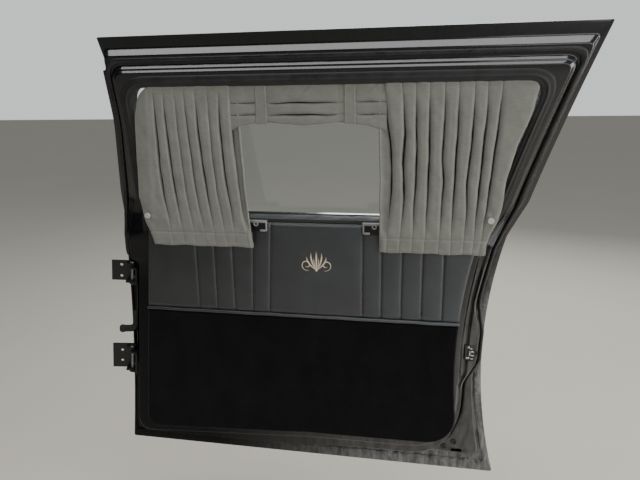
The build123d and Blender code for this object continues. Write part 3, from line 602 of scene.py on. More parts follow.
def embroidery_thread():
    """Satin stitches: ridges across the ribbon, cream that turns a dusty red towards the tips."""
    sheen = {"Sheen Weight": 0.3, "Specular IOR Level": 0.4}
    made = finish("embroidery_thread", (0.55, 0.48, 0.36), 0.45, **sheen)
    flat = flat_places(made)
    colour_by(made, axes_of(made, flat)["Y"], 0.74, 0.97, (0.6, 0.52, 0.39), (0.3, 0.09, 0.07))
    ridges = add(made, "TexWave", {"Vector": flat, "Scale": 420.0, "Distortion": 0.8}, bands_direction="X")
    bump(made, ridges.outputs["Fac"], 0.0002, 0.7)
    return made


# Settings that a user would change

def colour_setting(name, what, default):
    """Setting for a colour."""
    return bpy.props.FloatVectorProperty(
        name=name, description=f"Colour of the {what}", subtype="COLOR", default=default
    )


def size_setting(name, what, low, high, default):
    """Setting for a small size."""
    return bpy.props.FloatProperty(
        name=name, description=f"{what} in millimetres", min=low, max=high, default=default
    )


class PressingSettings(bpy.types.PropertyGroup):
    """Painted pressing and skin."""

    colour: colour_setting("Paint", "enamel", (0.0035, 0.0038, 0.0048))
    dust: bpy.props.FloatProperty(
        name="Dust", description="Share of settled dust", subtype="FACTOR", min=0, max=1, default=0.14
    )
    sealer: size_setting("Sealer", "Height of the lumps of hem sealer", 0, 4, 2.0)


class TrimSettings(bpy.types.PropertyGroup):
    """Vinyl, carpet and what is sewn on them."""

    vinyl: colour_setting("Vinyl", "vinyl", (0.014, 0.0155, 0.0175))
    puff: size_setting("Puff", "Height of a pleat over its seams", 0, 9, 6.6)
    stitch: size_setting("Stitch", "Pitch of the stitches", 2, 8, 4.2)
    ornament_width: size_setting("Ornament", "Width of the embroidered ornament", 20, 160, 84)


class CurtainSettings(bpy.types.PropertyGroup):
    """Curtains and valance."""

    cloth: colour_setting("Cloth", "curtain cloth", (0.2, 0.2, 0.178))
    thickness: size_setting("Thickness", "Thickness of the cloth", 0.5, 4, 1.4)
    depth: size_setting("Slit depth", "Depth of the slits between pleats", 2, 11.5, 11)
    hem: size_setting("Hem", "Height of the sewn hem", 10, 80, 34)


class StageSettings(bpy.types.PropertyGroup):
    """Floor, light and camera."""

    floor_drop: bpy.props.FloatProperty(
        name="Floor", description="Floor below the door's bottom edge", subtype="DISTANCE", unit="LENGTH",
        default=0.3,
    )
    floor_colour: colour_setting("Floor colour", "floor", (0.7, 0.66, 0.57))
    backdrop: colour_setting("Backdrop", "space behind the floor", (0.8, 0.82, 0.83))
    lens: size_setting("Lens", "Focal length, on a sensor 36 wide,", 10, 200, 31.22)


class DoorOperator(bpy.types.Operator):
    """Base of the operators: a making step that takes one click."""

    bl_options = {"REGISTER"}


# Stage

class DOOR_OT_stage(DoorOperator):
    """Floor, soft lights and camera"""

    bl_idname = "door.stage"
    bl_label = "Stage"

    def execute(self, context):
        settings = context.scene.door_stage
        self.floor(settings)
        self.backdrop(settings)
        self.lights()
        self.camera(settings)
        return {"FINISHED"}

    def floor(self, settings):
        """A pale floor below the door."""
        height, reach = ORIGIN[2] - settings.floor_drop, 30
        corners = [(x * reach, y * reach, height) for x, y in ((-1, -1), (1, -1), (1, 1), (-1, 1))]
        mesh = bpy.data.meshes.new("floor")
        mesh.from_pydata(corners, [], [(0, 1, 2, 3)])
        pale = tuple(settings.floor_colour)
        material = finish("floor", pale, 0.75, **{"Specular IOR Level": 0.3})
        patch = noise(material, places(material), 1.2, 5, 0.6)
        feed(material, "Base Color", tint(material, patch, scaled(pale, 0.93), pale))
        mesh.materials.append(material)
        placed("floor", mesh)

    def backdrop(self, settings):
        """Surroundings: pale where they are seen, dimmer as light; mirrored, they darken to the left."""
        world = bpy.data.worlds.new("studio")
        bpy.context.scene.world = world
        world.use_nodes = True
        path = add(world, "LightPath").outputs
        axes = axes_of(world, add(world, "TexCoord").outputs["Generated"])
        side = spread(world, axes["X"], -0.5, 0.5)
        seen = maths(world, "MAXIMUM", path["Is Camera Ray"], path["Is Transmission Ray"])
        gradient = tint(world, side, (0.015, 0.016, 0.018), (0.2, 0.21, 0.22))
        mirrored = tint(world, path["Is Glossy Ray"], (0.3, 0.31, 0.32), gradient)
        shown = tint(world, seen, mirrored, tuple(settings.backdrop))
        world.node_tree.links.new(shown, world.node_tree.nodes["Background"].inputs["Color"])

    def lights(self):
        """Large soft lamps: (place, target, width, height, power), in door axes, metres and watts."""
        lamps = {
            "window_light": ((1500, 3200, 2300), (600, 0, 600), 3.6, 1.8, 70),
            "ceiling_light": ((300, -560, 3300), (300, -560, 0), 3.4, 1.1, 50),
            "front_light": ((2300, -3000, 1900), (560, 0, 620), 2.2, 2.6, 34),
            "side_light": ((3700, -900, 900), (560, 0, 560), 1.2, 2.6, 62),
        }
        for name, (place, target, width, height, power) in lamps.items():
            data = bpy.data.lights.new(name, "AREA")
            data.shape = "RECTANGLE"
            data.size, data.size_y, data.energy = width, height, power
            aim = Vector(to_frame(place)) - Vector(to_frame(target))
            turned = aim.to_track_quat("Z", "Y").to_matrix().to_4x4()
            placed(name, data).matrix_world = Matrix.Translation(to_frame(place)) @ turned

    def camera(self, settings):
        """Camera in front of the trim, turned, tipped and rolled as the door's level lines ask."""
        data = bpy.data.cameras.new("camera")
        data.lens = settings.lens
        camera = placed("camera", data)
        camera.matrix_world = Matrix.Translation(to_frame(CAMERA_PLACE))
        for angle, axis in ((CAMERA_TURN, "Z"), (CAMERA_TIP, "X"), (CAMERA_TILT, "Z")):
            camera.matrix_world = camera.matrix_world @ Matrix.Rotation(angle, 4, axis)
        bpy.context.scene.camera = camera


# Painted pressing: one closed ring of stepped sections round the door

SIDES = (170, 120, 76, 190, 50, 42, 120)  # points along foot, rear, rear upright, header, front upright
CORNERS = np.cumsum((0,) + SIDES[:-1])  # index of each side's first point
POINT_PITCH = 6.0  # rough distance between points of a loop
FOOT_ENDS = (40.0, 960.0)  # where a foot is read for the heights of its two corners
UPRIGHT_FROM, UPRIGHT_OVER = 30.0, 48.0  # inset from which the front side loses its lean, and over how much
FLANGE_INSET = 5.0
TRIM_FOOT = ((40, 540, 840), (99, 127, 130))  # places along the door, and the heights there
LAND = np.array([  # (height, inset from the rear edge) of the raised land
    (84, 136), (120, 108), (152, 90), (195, 70), (240, 60), (306, 55), (368, 22), (452, 22), (531, 42),
    (640, 38), (735, 38),
])


def land_x(z, outside=0.0):
    """Edge of the raised land at the rear: it swells round the latch and sweeps over the lower corner."""
    return arch_x(z) - np.interp(z, *LAND.T) + outside


def trim_foot(x):
    """Lower edge of the trim, which climbs towards the rear up to a turn and a little beyond."""
    return np.interp(x, *TRIM_FOOT)


def loop(foot, low_y, rear, front, uppers, depth, corners, base=2.5, notch=0.0):
    """Closed loop round the door at one depth of the pressing.

    Below the sill it follows foot(x), rear(z) and front(z) at low_y(z). Above, it is inset from the
    frame's outline by uppers (rear, top, front) at a depth on the leaning frame. The reach of its soft
    corners is given by corners, and notch is the share of the header's step ahead of the front upright.
    """
    def rear_upright(height):
        """Rear side of the window frame."""
        share = height / RISE
        return REAR_X + REAR_RUN * share - REAR_BOW * share * (1 - share) - uppers[0]

    def front_upright(height):
        """Front side of the window frame, which stands upright at the opening."""
        steep = np.clip((uppers[2] - UPRIGHT_FROM) / UPRIGHT_OVER, 0, 1)
        lean = (FRONT_X + FRONT_RUN * np.clip(height / KINK_RISE, 0, 1)) * (1 - steep)
        beyond = ramp_up(height, RISE - HEADER_DEPTH - 3, RISE - HEADER_DEPTH)
        ahead = (NOTCH - NOTCH_FALL * np.clip((height - RISE + HEADER_DEPTH) / HEADER_DEPTH, 0, 1)) * notch
        return lean + (FRONT_X + FRONT_RUN) * steep + beyond * ahead + uppers[2]

    shares = side_shares(SIDES)
    (low_front, low_rear), top = map(foot, FOOT_ENDS), RISE - uppers[1]
    x = front(low_front) + (rear(low_rear) - front(low_front)) * shares[0]
    sides = [xyz(x, low_y(foot(x)), foot(x))]
    z = low_rear + (SILL - low_rear) * shares[1]
    sides.append(xyz(rear(z), low_y(z), z))
    height = top * shares[2]
    sides.append(on_frame(rear_upright(height), height, depth))
    x = rear_upright(top) + (front_upright(top) - rear_upright(top)) * shares[3]
    sides.append(on_frame(x, top, depth))
    for height in (top + (KINK_RISE - top) * shares[4], KINK_RISE * (1 - shares[5])):
        sides.append(on_frame(front_upright(height), height, depth))
    z = SILL + (low_front - SILL) * shares[6]
    sides.append(xyz(front(z), low_y(z), z))
    return rounded(np.concatenate(sides), CORNERS, corners, base)


def wall(recessed, above):
    """Front side of the wall: the hinge face below the recess's top, near the outer edge above it."""
    def side(z):
        """Place of the wall at a height."""
        low, high = hinge_x(z) + recessed, front_x(z) + above
        return low + (high - low) * ramp_up(z, RECESS_Z - 2, RECESS_Z + 8)
    return side


def level(height):
    """A foot that stays at one height."""
    return lambda x: height


def steady(y):
    """A low side that stays at one depth."""
    return lambda z: y


def behind_skin(gap):
    """A low side that follows the skin, so far inboard of it."""
    return lambda z: skin_y(z) - gap


def lip(height):
    """A foot that climbs by 13 towards the rear, as the lower edge of the land does."""
    return lambda x: height + 13 * ramp_up(x, 380, 760)


def climbing(below):
    """A foot that follows the trim's."""
    return lambda x: trim_foot(x) - below


def land(outside):
    """A rear side that follows the land, so far outside it."""
    return lambda z: land_x(z, outside)


def arch(inset):
    """A rear side that follows the rear edge, so far inside it."""
    return lambda z: arch_x(z) - inset


def inner_of(inset, inside):
    """A rear side that follows the rear edge or the land, so far inside each, whichever lies further in."""
    return lambda z: np.minimum(arch_x(z) - inset, land_x(z) - inside)


def bead(out):
    """A low side with a bead that stands out beside the latch."""
    return lambda z: 14.6 + out * ramp_up(z, 270, 330) * (1 - ramp_up(z, 600, 680))


def soft(front_foot, rear_foot, rear_top, front_top, sill=70):
    """Reach of the soft corners of a loop, in the order of its corners."""
    return front_foot, rear_foot, sill, rear_top, front_top, 30, sill


def pressing_loops():
    """Loops from the flange's outer edge over the steps to the window, and back behind them all."""
    def front(z):
        """Front side of the flange."""
        return front_x(z) + FLANGE_INSET

    edge = soft(5, 5, 3, 3)
    rim = soft(40, 70, 42, 42, 8)
    sections = (
        (level(FLANGE_INSET), behind_skin(2.8), arch(FLANGE_INSET), front, (0, 0, 0), 0.8, edge, 1.5, 1),
        (level(FLANGE_INSET), behind_skin(4.4), arch(FLANGE_INSET), front, (0, 0, 0), 4.0, edge, 1.5, 1),
        (level(46), behind_skin(4.6), arch(23), wall(-2, 10), (13, 29, 15.5), 4.6, soft(14, 22, 10, 10)),
        (lip(65), steady(42), arch(29), wall(0.5, 14), (21, 43, 20), 22, soft(20, 26, 16, 14)),
        (lip(69), steady(40), land(3), wall(1.0, 34), (34, 66, 32), 22, soft(40, 80, 38, 36), 12),
        (lip(72), steady(15), land(-1), wall(2.5, 38), (38, 72, 35), 28, soft(44, 82, 34, 32), 12),
        (lip(73), bead(-3), inner_of(44, 5), wall(5, 40), (39, 73, 37), 29, soft(44, 84, 30, 30), 8),
        (climbing(27), bead(4), inner_of(51, 7), wall(8, 42), (40, 74.5, 39), 29.6, soft(45, 88, 28, 28), 6),
        (climbing(24), steady(14), inner_of(60, 9), wall(10, 44), (42, 76, 42), 30, soft(46, 90, 24, 26)),
        (climbing(18), steady(5), inner_of(66, 15), wall(14, 48), (48, 82, 46), 36, soft(50, 90, 22, 24)),
        (climbing(-30), steady(4.2), arch(110), wall(60, 130), OPENING, 36, rim),
        (climbing(-30), steady(8), arch(110), wall(60, 130), OPENING, 1, rim),
        (climbing(-30), steady(11), arch(108), wall(58, 128), (83, 113, 76), 0, rim),
        (climbing(-30), steady(47), arch(108), wall(58, 128), (76, 104, 70), 0.1, rim),
        (lip(72), steady(47), arch(35), wall(7, 42), (40, 66, 38), 0.3, soft(26, 40, 20, 20)),
        (level(54), behind_skin(3.4), arch(27), wall(3, 18), (20, 36, 20), 0.6, soft(16, 24, 12, 12)),
    )
    return [loop(*section) for section in sections]


def cut(piece, boxes):
    """Cuts boxes, each a low and a high corner in door axes, out of a closed piece."""
    work = bmesh.new()
    for low, high in boxes:
        low, high = to_frame(low), to_frame(high)
        box = Matrix.Translation((high + low) / 2) @ Matrix.Diagonal((*(high - low), 1.0))
        bmesh.ops.create_cube(work, size=1.0, matrix=box)
    mesh = bpy.data.meshes.new("cutter")
    work.to_mesh(mesh)
    work.free()
    cutter = placed("cutter", mesh)
    pocket = piece.modifiers.new("pocket", "BOOLEAN")
    pocket.operation, pocket.solver, pocket.object = "DIFFERENCE", "MANIFOLD", cutter
    shaped = bpy.data.meshes.new_from_object(piece.evaluated_get(bpy.context.evaluated_depsgraph_get()))
    piece.modifiers.remove(pocket)
    piece.data = shaped
    bpy.data.objects.remove(cutter)


class DOOR_OT_pressing(DoorOperator):
    """Painted pressing of door and window frame, in one closed ring"""

    bl_idname = "door.pressing"
    bl_label = "Pressing"

    def execute(self, context):
        settings = context.scene.door_pressing
        radii = (0.6, 1.2, 3.5, 3, 1.8, 1.6, 0.8, 0.8, 1.4, 1.6, 2, 1, 1, 2, 2, 1.5)
        points = soften(np.stack(pressing_loops(), 1), radii, 6)
        flange = slice(9, 13)  # between the softened corners of the second loop and the third
        low = ramp_up(SILL + 20 - points[:, flange.start, 2], 0, 60)
        sway = waves(np.arange(len(points)) * POINT_PITCH, (61, 97, 173), 5)
        points[:, flange, 1] -= (settings.sealer * 0.35 * low * sway)[:, None]
        enamel = paint("door_enamel", tuple(settings.colour), settings.dust)
        # The mask holds dirt and painted floor reflection, which lighten the paint.
        ring = make("painted_pressing", [wrapped(points)], enamel, crease=50,
                    replaces=("inner_panel", "window_frame"), mask=grime_and_reflection(points))
        low_corner, high_corner = from_frame(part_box("latch_housing"))
        pocket = (low_corner - (0, 9, 0), high_corner + (0, 3, 0))
        mouth = ((low_corner[0] + 6, 5, LATCH_Z - 6.5), (high_corner[0] + 14, 60, LATCH_Z + 6.5))
        drain_slot = ((937, 34, 81), (965, 62, 90))
        cut(ring, [pocket, mouth, drain_slot])
        return {"FINISHED"}


# Skin: its edge is folded round the pressing's flange and sealed

SKIN_SIDES = (220, 150, 220, 150)  # points along foot, rear, sill and front
SKIN_PITCH = 5.2  # rough distance between them
SKIN_GAUGE = 2.2
SPINE_ROWS = 60


def skin_loop(inset, depth, lumps=0.0):
    """Closed loop round the skin's edge, so far inside the outline and behind the outer surface.

    The inset counts in full at foot and sill; the hem is narrower at the rear and narrowest in front.
    """
    shares = side_shares(SKIN_SIDES)
    low, high = inset, SILL - inset
    rear, front = (np.interp(inset, (0, 4, 30, 40), (0, 4, reach, reach)) for reach in (19.5, 8))
    width_low, width_high = (arch_x(z) - front_x(z) - rear - front for z in (low, high))
    up, down = low + (high - low) * shares[1], high + (low - high) * shares[3]
    points = np.concatenate([
        xyz(front_x(low) + front + width_low * shares[0], 0, low),
        xyz(arch_x(up) - rear, 0, up),
        xyz(arch_x(high) - rear - width_high * shares[2], 0, high),
        xyz(front_x(down) + front, 0, down),
    ])
    points[:, 1] = skin_y(points[:, 2]) - depth - lumps
    return rounded(points, np.cumsum((0,) + SKIN_SIDES[:-1]), (6, 6, 3, 3), 1.5)


def spine_loop(share, depth):
    """Loop between the skin's edge, at share 0, and a line along its middle, at share 1."""
    edge = skin_loop(6, depth)
    ends = ((0, 1), (1, 1), (1, 0), (0, 0))  # along foot, rear, sill and front
    across = np.concatenate([np.linspace(*end, count) for end, count in zip(ends, SKIN_SIDES)])
    points = edge + (xyz(330 + 380 * across, 0, SILL / 2) - edge) * share
    points[:, 1] = skin_y(points[:, 2]) - depth
    return points


class DOOR_OT_skin(DoorOperator):
    """Outer skin with its hem and the lumpy sealer on it"""

    bl_idname = "door.skin"
    bl_label = "Skin"

    def execute(self, context):
        settings = context.scene.door_pressing
        place = np.arange(sum(SKIN_SIDES)) * SKIN_PITCH
        lumps = settings.sealer * (0.5 + 0.5 * waves(place, (17, 23, 37, 61, 140), 3))
        sway = (0.5 + 0.5 * waves(place, (31, 53, 150), 4))[:, None]
        hem = [  # (inset, depth, share of the sealer's lumps)
            (28, 4.5, 0), (30, 5.4, 0.2), (27, 6.3, 0.8), (21, 6.8, 1), (14, 7.1, 1), (8, 7.1, 0.9),
            (3.2, 7, 0.4),
        ]
        fold = [(1.5, 6.9), (0.5, 6.3), (0.1, 5.2), (0, 3.8), (0.1, 2), (0.8, 0.6), (2, 0.05), (4, 0)]
        shares = np.linspace(0, 1, SPINE_ROWS) ** 1.15
        loops = [spine_loop(share, SKIN_GAUGE) for share in shares[::-1][::6]]
        for inset, depth, share in hem:
            ripple = 0.7 * settings.sealer * share * waves(place + 3 * inset, (11, 19, 29), int(inset))
            near, far = (skin_loop(inset + reach, depth, share * lumps + ripple) for reach in (0, 7 * share))
            loops.append(near + (far - near) * sway)
        loops += [skin_loop(inset, depth) for inset, depth in fold]
        loops += [spine_loop(share, 0) for share in shares]
        points = np.array(loops)
        # The mask holds dirt and painted floor reflection, which lighten the paint.
        mask = grime_and_reflection(points)
        mask[-SPINE_ROWS:] = 0
        enamel = bpy.data.materials["door_enamel"]
        make("outer_panel", [surface(points, wrap_columns=True)], enamel, mask=mask, crease=60,
             weld=0.02, replaces=("outer_skin",))
        return {"FINISHED"}


# Rubber

def opening_path(grow, depth):
    """Path round the window opening, grown outward, its ends at the sill."""
    insets = tuple(inset - grow for inset in OPENING)
    reach = 49 + grow
    whole = loop(level(60), steady(30), arch_x, front_x, insets, depth, (30, 30, 2, reach, reach, 20, 2), 2)
    return whole[CORNERS[2] + 1 : CORNERS[6]]


class DOOR_OT_rubber(DoorOperator):
    """Window gasket and door weatherstrip"""

    bl_idname = "door.rubber"
    bl_label = "Rubber"

    def execute(self, context):
        dark = rubber()
        self.gasket(dark)
        self.weatherstrip(rubber("seal_rubber", 0.22))
        return {"FINISHED"}

    def gasket(self, dark):
        """Flat band with a bead along its middle and a lip on the glass."""
        profile = [  # (growth over the opening, depth on the frame)
            (26, 35), (26.5, 38), (25, 41.5), (22, 43), (16, 43.4), (13.5, 44.6), (11.5, 45.4), (9.5, 44.6),
            (8, 43.2), (3, 42.6), (-0.5, 41), (-1.5, 38), (-1, 20), (-1, 10), (0, 2), (4, 0.5), (11, 1),
            (11, 20),
        ]
        rails = [opening_path(grow, depth) for grow, depth in profile]
        band = tube(soften(np.stack(rails, 1), [1.5] * len(profile), 4))
        make("window_gasket", [band], dark, replaces=("window_seal",), crease=55)

    def weatherstrip(self, satin):
        """Bulb on a foot, flat on the window frame and full below the sill; it stops short of the hinges."""
        profile = [  # (outward, up from the foot)
            (2, 0.4), (3, 3), (2.2, 7), (4.2, 10.5), (7.5, 12), (10.8, 10.5), (12.6, 7), (12, 3), (13, 0.4),
        ]
        rails = []
        for out, up in profile:
            insets, reach = (34 - out, 61 - out, 32 - out), (40, 80, 70, 38, 36, 30, 70)
            sides = (lip(86 - out), steady(40 - up), land(out + 1.5), wall(1, 34 - out))
            rails.append(loop(*sides, insets, 22 + 0.42 * up, reach, 12))
        points = soften(np.stack(rails, 1), [2.2] * len(rails), 4)
        place = np.arange(len(points)) * POINT_PITCH
        bulb = slice(8, 28)  # all of the profile but its foot
        points[:, bulb, 1] -= (0.35 * waves(place, (47, 83, 131), 8))[:, None]
        end = int(CORNERS[6] + SIDES[6] * 0.2)  # the strip leaves out most of the side by the hinges
        make("door_seal_bulb", [tube(points[:end])], satin, replaces=("door_weatherstrip",),
             crease=60)


# Trim

SEAMS = (  # (x at the sill, x at the piping)
    (246, 246), (297, 297), (347, 347), (407, 397), (455, 443),
    (692, 692), (740, 740), (791, 791), (842, 842), (894, 894),
)
VINYL_LOW, VINYL_HIGH = PIPING_Z + 4.5, SILL - 1.5
TRIM_BACK = 4.0
TRIM_FRONT_INSET, TRIM_REAR_INSET = 45.0, 77.0
CARPET_FRONT_CORNER, CARPET_REAR_CORNER = 44.0, 90.0
STITCH_INSET = 2.6


def trim_front(z):
    """Front side of the trim."""
    return hinge_x(z) + TRIM_FRONT_INSET


def trim_rear(z):
    """Rear side of the trim."""
    return arch_x(z) - TRIM_REAR_INSET


def trim_x(z, share):
    """Place on the trim at a height, from its front side at share 0 to its rear side at share 1."""
    return trim_front(z) + (trim_rear(z) - trim_front(z)) * share


def seam_x(seam, z):
    """Place of a seam at a height."""
    share = np.clip((z - PIPING_Z) / (SILL - PIPING_Z), 0, 1)
    return seam[1] + (seam[0] - seam[1]) * share


def vinyl_y(x, z, puff):
    """Inner surface of the vinyl: quarter-round rise from each seam, rolled back along all four sides."""
    side = np.minimum(x - trim_front(z), trim_rear(z) - x)
    gap, width = side, 24.0 + 0 * x
    seams = [seam_x(seam, z) for seam in SEAMS]
    for start, end in zip(seams[:-1], seams[1:]):
        inside = (x >= start) & (x < end)
        gap = np.where(inside, np.minimum(x - start, end - x), gap)
        width = np.where(inside, np.minimum((end - start) / 2, 26), width)
    gap = np.where(x < seams[0], np.minimum(side, seams[0] - x), gap)
    gap = np.where(x >= seams[-1], np.minimum(side, x - seams[-1]), gap)
    plump = 0.55 * roll(np.abs(gap), 7) + 0.45 * roll(np.abs(gap), width)
    swell = puff * plump * roll(np.minimum(VINYL_HIGH - z, z - VINYL_LOW), 16)
    pucker = 0.28 * np.exp(-np.abs(gap) / 5) * np.sin(2 * pi * z / 8.4 + x / 9)
    slack = 0.7 * waves(x + 0.6 * z, (83, 141, 211), 11) * roll(np.abs(gap), width)
    thick = 6.4 * roll(side, 6) * roll(VINYL_HIGH - z, 9) * (0.55 + 0.45 * roll(z - VINYL_LOW, 7))
    return TRIM_BACK - thick - swell + pucker + slack * 0.5


def spaced(count, ends):
    """Even steps from 0 to 1 that crowd together over a share at both ends."""
    even = np.linspace(-1, 1, count)
    return 0.5 + 0.5 * ((1 - ends) * even + ends * np.sin(even * pi / 2))


def backed(points, depth):
    """Shell of an open grid whose rim drops back to a depth and is closed by one flat face."""
    index = np.arange(points.shape[0] * points.shape[1]).reshape(points.shape[:2])
    rim = np.concatenate([index[0], index[1:, -1], index[-1, -2::-1], index[-2:0:-1, 0]])
    flat = points.reshape(-1, 3)
    edge = flat[rim] * (1, 0, 1) + (0, depth, 0)
    behind = np.arange(len(rim)) + len(flat)
    sides = np.stack([rim, np.roll(rim, -1), np.roll(behind, -1), behind], -1)
    cells = grid_cells(*points.shape[:2]).tolist() + sides.tolist() + [behind.tolist()]
    whole = np.concatenate([flat, edge])
    return whole, cells, whole[:, [0, 2]] / 1000


class DOOR_OT_trim(DoorOperator):
    """Pleated vinyl, its stitches, the piping and the carpet"""

    bl_idname = "door.trim"
    bl_label = "Trim"

    def execute(self, context):
        settings = context.scene.door_trim
        self.pleats(settings)
        self.stitches(settings)
        self.piping(settings)
        self.carpet()
        return {"FINISHED"}

    def pleats(self, settings):
        """Vinyl as one padded sheet over foam."""
        skin = vinyl("black_vinyl", tuple(settings.vinyl), 0.36)
        z = VINYL_LOW + (VINYL_HIGH - VINYL_LOW) * spaced(120, 0.5)[:, None]
        x = trim_x(z, spaced(440, 0.25)[None])
        shell = backed(xyz(x, vinyl_y(x, z, settings.puff), z), TRIM_BACK)
        pad = make("pleated_vinyl", [shell], skin, replaces=("upper_trim",), crease=70)

    def stitches(self, settings):
        """Thread beside each seam, one small capsule a stitch."""
        z = np.arange(VINYL_LOW + 14, VINYL_HIGH - 14, settings.stitch)
        along = np.array([-0.5, -0.42, -0.2, 0.2, 0.42, 0.5])[:, None] * settings.stitch * 0.82
        girth = np.array([0.05, 0.33, 0.5, 0.5, 0.33, 0.05])[:, None]
        angle = circle(6)
        rings = xyz(girth * np.cos(angle), 0.8 * girth * np.sin(angle), along)
        shells = []
        for seam in SEAMS:
            x = seam_x(seam, z) + (STITCH_INSET if seam[0] < ORNAMENT[0] else -STITCH_INSET)
            middle = xyz(x, vinyl_y(x, z, settings.puff) - 0.25, z)
            shells += [tube(rings + place) for place in middle]
        make("seam_stitches", shells, seam_thread(), crease=80)

    def piping(self, settings):
        """Covered cord between vinyl and carpet, drawn in at both ends."""
        cover = vinyl("piping_vinyl", scaled(settings.vinyl, 1.7), 0.34)
        x = np.linspace(trim_front(PIPING_Z) - 1, trim_rear(PIPING_Z) + 1, 420)
        path = xyz(x, -4.6, PIPING_Z + 0.5 * waves(x, (97, 170), 21))
        end = roll(np.minimum(x - x[0], x[-1] - x) + 0.15, 4)
        radius = (4.5 + 0.12 * waves(x, (9, 14, 23), 22)) * end
        piping = cord(path, radius, 18, 1.05)
        make("piping_cord", [piping], cover, replaces=("piping",), crease=70)

    def carpet(self):
        """Carpeted panel with rounded lower corners; its face is a short pile that dips at the rim."""
        across, up = spaced(400, 0.35)[None], spaced(170, 0.35)[:, None]
        high = PIPING_Z - 4.0
        flat_x = trim_front(150) + (trim_rear(170) - trim_front(150)) * across
        low = trim_foot(flat_x)
        ends = (flat_x - flat_x.min(), CARPET_FRONT_CORNER), (flat_x.max() - flat_x, CARPET_REAR_CORNER)
        for gap, radius in ends:
            low = low + radius - np.sqrt(radius**2 - np.clip(radius - gap, 0, radius) ** 2)
        z = low + (high - low) * up
        x = trim_x(z, across)
        side, foot = np.minimum(x - trim_front(z), trim_rear(z) - x), z - trim_foot(x)
        radius = np.where(across < 0.5, CARPET_FRONT_CORNER, CARPET_REAR_CORNER)
        round_gap = radius - np.hypot(np.clip(radius - side, 0, None), np.clip(radius - foot, 0, None))
        gap = np.minimum(np.minimum(side, foot), np.minimum(round_gap, high - z))
        fuzz = np.random.default_rng(31).uniform(-0.35, 0.35, x.shape)
        y = TRIM_BACK - 11 * roll(gap + 0.4, 6) - 0.9 * waves(x * 0.8 + z, (150, 260), 32) * roll(gap, 30)
        panel = backed(xyz(x, y + fuzz * roll(gap, 3), z), TRIM_BACK)
        make("carpet_panel", [panel], carpet_pile(), replaces=("lower_trim",), crease=80)


# Embroidered ornament: a generic palmette of leaves and two scrolls

ORNAMENT = (572.5, 634.0)  # middle, as (x, z)
ORNAMENT_REACH = 42.0  # half width of the drawing below
KNOT_Z = 612.0


def leaf(tip_x, tip_z, sway):
    """Stem line from the foot of the ornament to a tip, bent sideways: a quadratic curve."""
    foot, tip = np.array([tip_x * 0.06, -21.0]), np.array([tip_x, tip_z])
    return bend(foot, (foot + tip) / 2 + np.array([sway, 0]), tip, np.linspace(0, 1, 46)[:, None])


def scroll(middle_x, middle_z, size, turn):
    """Spiral whose radius falls while it turns inwards from the foot of the ornament."""
    share = np.linspace(0, 1, 90)
    angle = radians(-112) + share * turn
    radius = size * (1 - 0.76 * share**0.85)
    return np.stack([middle_x + radius * np.cos(angle), middle_z + radius * np.sin(angle)], -1)


class DOOR_OT_ornament(DoorOperator):
    """Embroidered ornament on the middle panel"""

    bl_idname = "door.ornament"
    bl_label = "Ornament"

    def execute(self, context):
        settings = context.scene.door_trim
        scale = settings.ornament_width / 2 / ORNAMENT_REACH
        right = [
            (leaf(13.5, 25, 9.5), 4.4), (leaf(25.5, 14.5, 13), 3.9),
            (scroll(25.5, -8.5, 15.5, radians(455)), 2.7), (leaf(6.2, 12, 3.8), 2.2),
        ]
        ribbons = [(leaf(0, 29, 0), 5.0)]
        for line, width in right:
            ribbons += [(line, width), (line * np.array([-1, 1]), width)]
        shells = [self.ribbon(line * scale, width * scale, settings.puff) for line, width in ribbons]
        seat = (ORNAMENT[0], vinyl_y(np.array(ORNAMENT[0]), np.array(KNOT_Z), settings.puff), KNOT_Z)
        knot = revolve([(3.4, -1.0), (3.4, 0.4), (2.6, 1.2), (1.2, 1.6), (0.1, 1.7)], 16, seat)
        make("embroidered_ornament", shells + [knot], embroidery_thread(), crease=80)
        return {"FINISHED"}

    def ribbon(self, line, width, puff):
        """Closed ribbon of satin stitch along a line on the vinyl, fat in its middle, its ends pointed."""
        share = np.linspace(0, 1, len(line))
        half = width / 2 * (0.12 + 0.88 * np.sin(pi * np.clip(share, 0.02, 0.98)) ** 0.62)
        x, z = (line + ORNAMENT).T
        path = xyz(x, vinyl_y(x, z, puff), z)
        angle = circle(12)
        across = half[:, None] * np.cos(angle)
        crown = np.sin(angle) * np.where(np.sin(angle) > 0, 1.25, 0.5)
        out = crown * np.minimum(half / 1.2, 1)[:, None]
        flat = np.stack(np.broadcast_arrays(run_along(path)[:, None] / 1000, share[:, None] + 0 * across), -1)
        return tube(sweep(path, across, out, INBOARD), flat)


# Curtains

def cloth_back(z):
    """Plane behind the curtains, which leans inboard towards the header."""
    return -15 - 15 * (z - CLOTH_HEM_Z) / (CLOTH_TOP_Z - CLOTH_HEM_Z)


# Free edges and slits from side to side: widest opening in millimetres, then rows of (height, x)
FRONT_LINES = (
    (0, (1079, 171), (1068, 156), (1058, 142), (1040, 133), (1000, 122), (900, 115), (800, 109), (770, 115),
     (740, 119), (720, 128), (700, 136), (671, 143)),
    (3.6, (1079, 178), (875, 176), (805, 179), (755, 186), (671, 194)),
    (3.0, (1079, 203), (963, 204), (859, 208), (755, 217), (671, 227)),
    (1.0, (1079, 232), (917, 236), (821, 241), (671, 257)),
    (1.8, (1079, 256), (944, 261), (821, 268), (671, 286)),
    (3.2, (1079, 285), (963, 287), (859, 293), (744, 305), (671, 312)),
    (1.2, (1079, 317), (917, 319), (821, 324), (671, 343)),
    (3.2, (1079, 346), (959, 344), (859, 348), (755, 360), (671, 366)),
    (3.0, (1079, 372), (971, 375), (859, 381), (751, 389), (704, 396), (671, 399)),
    (0, (1079, 388), (971, 392), (840, 396), (725, 403), (671, 408)),
)
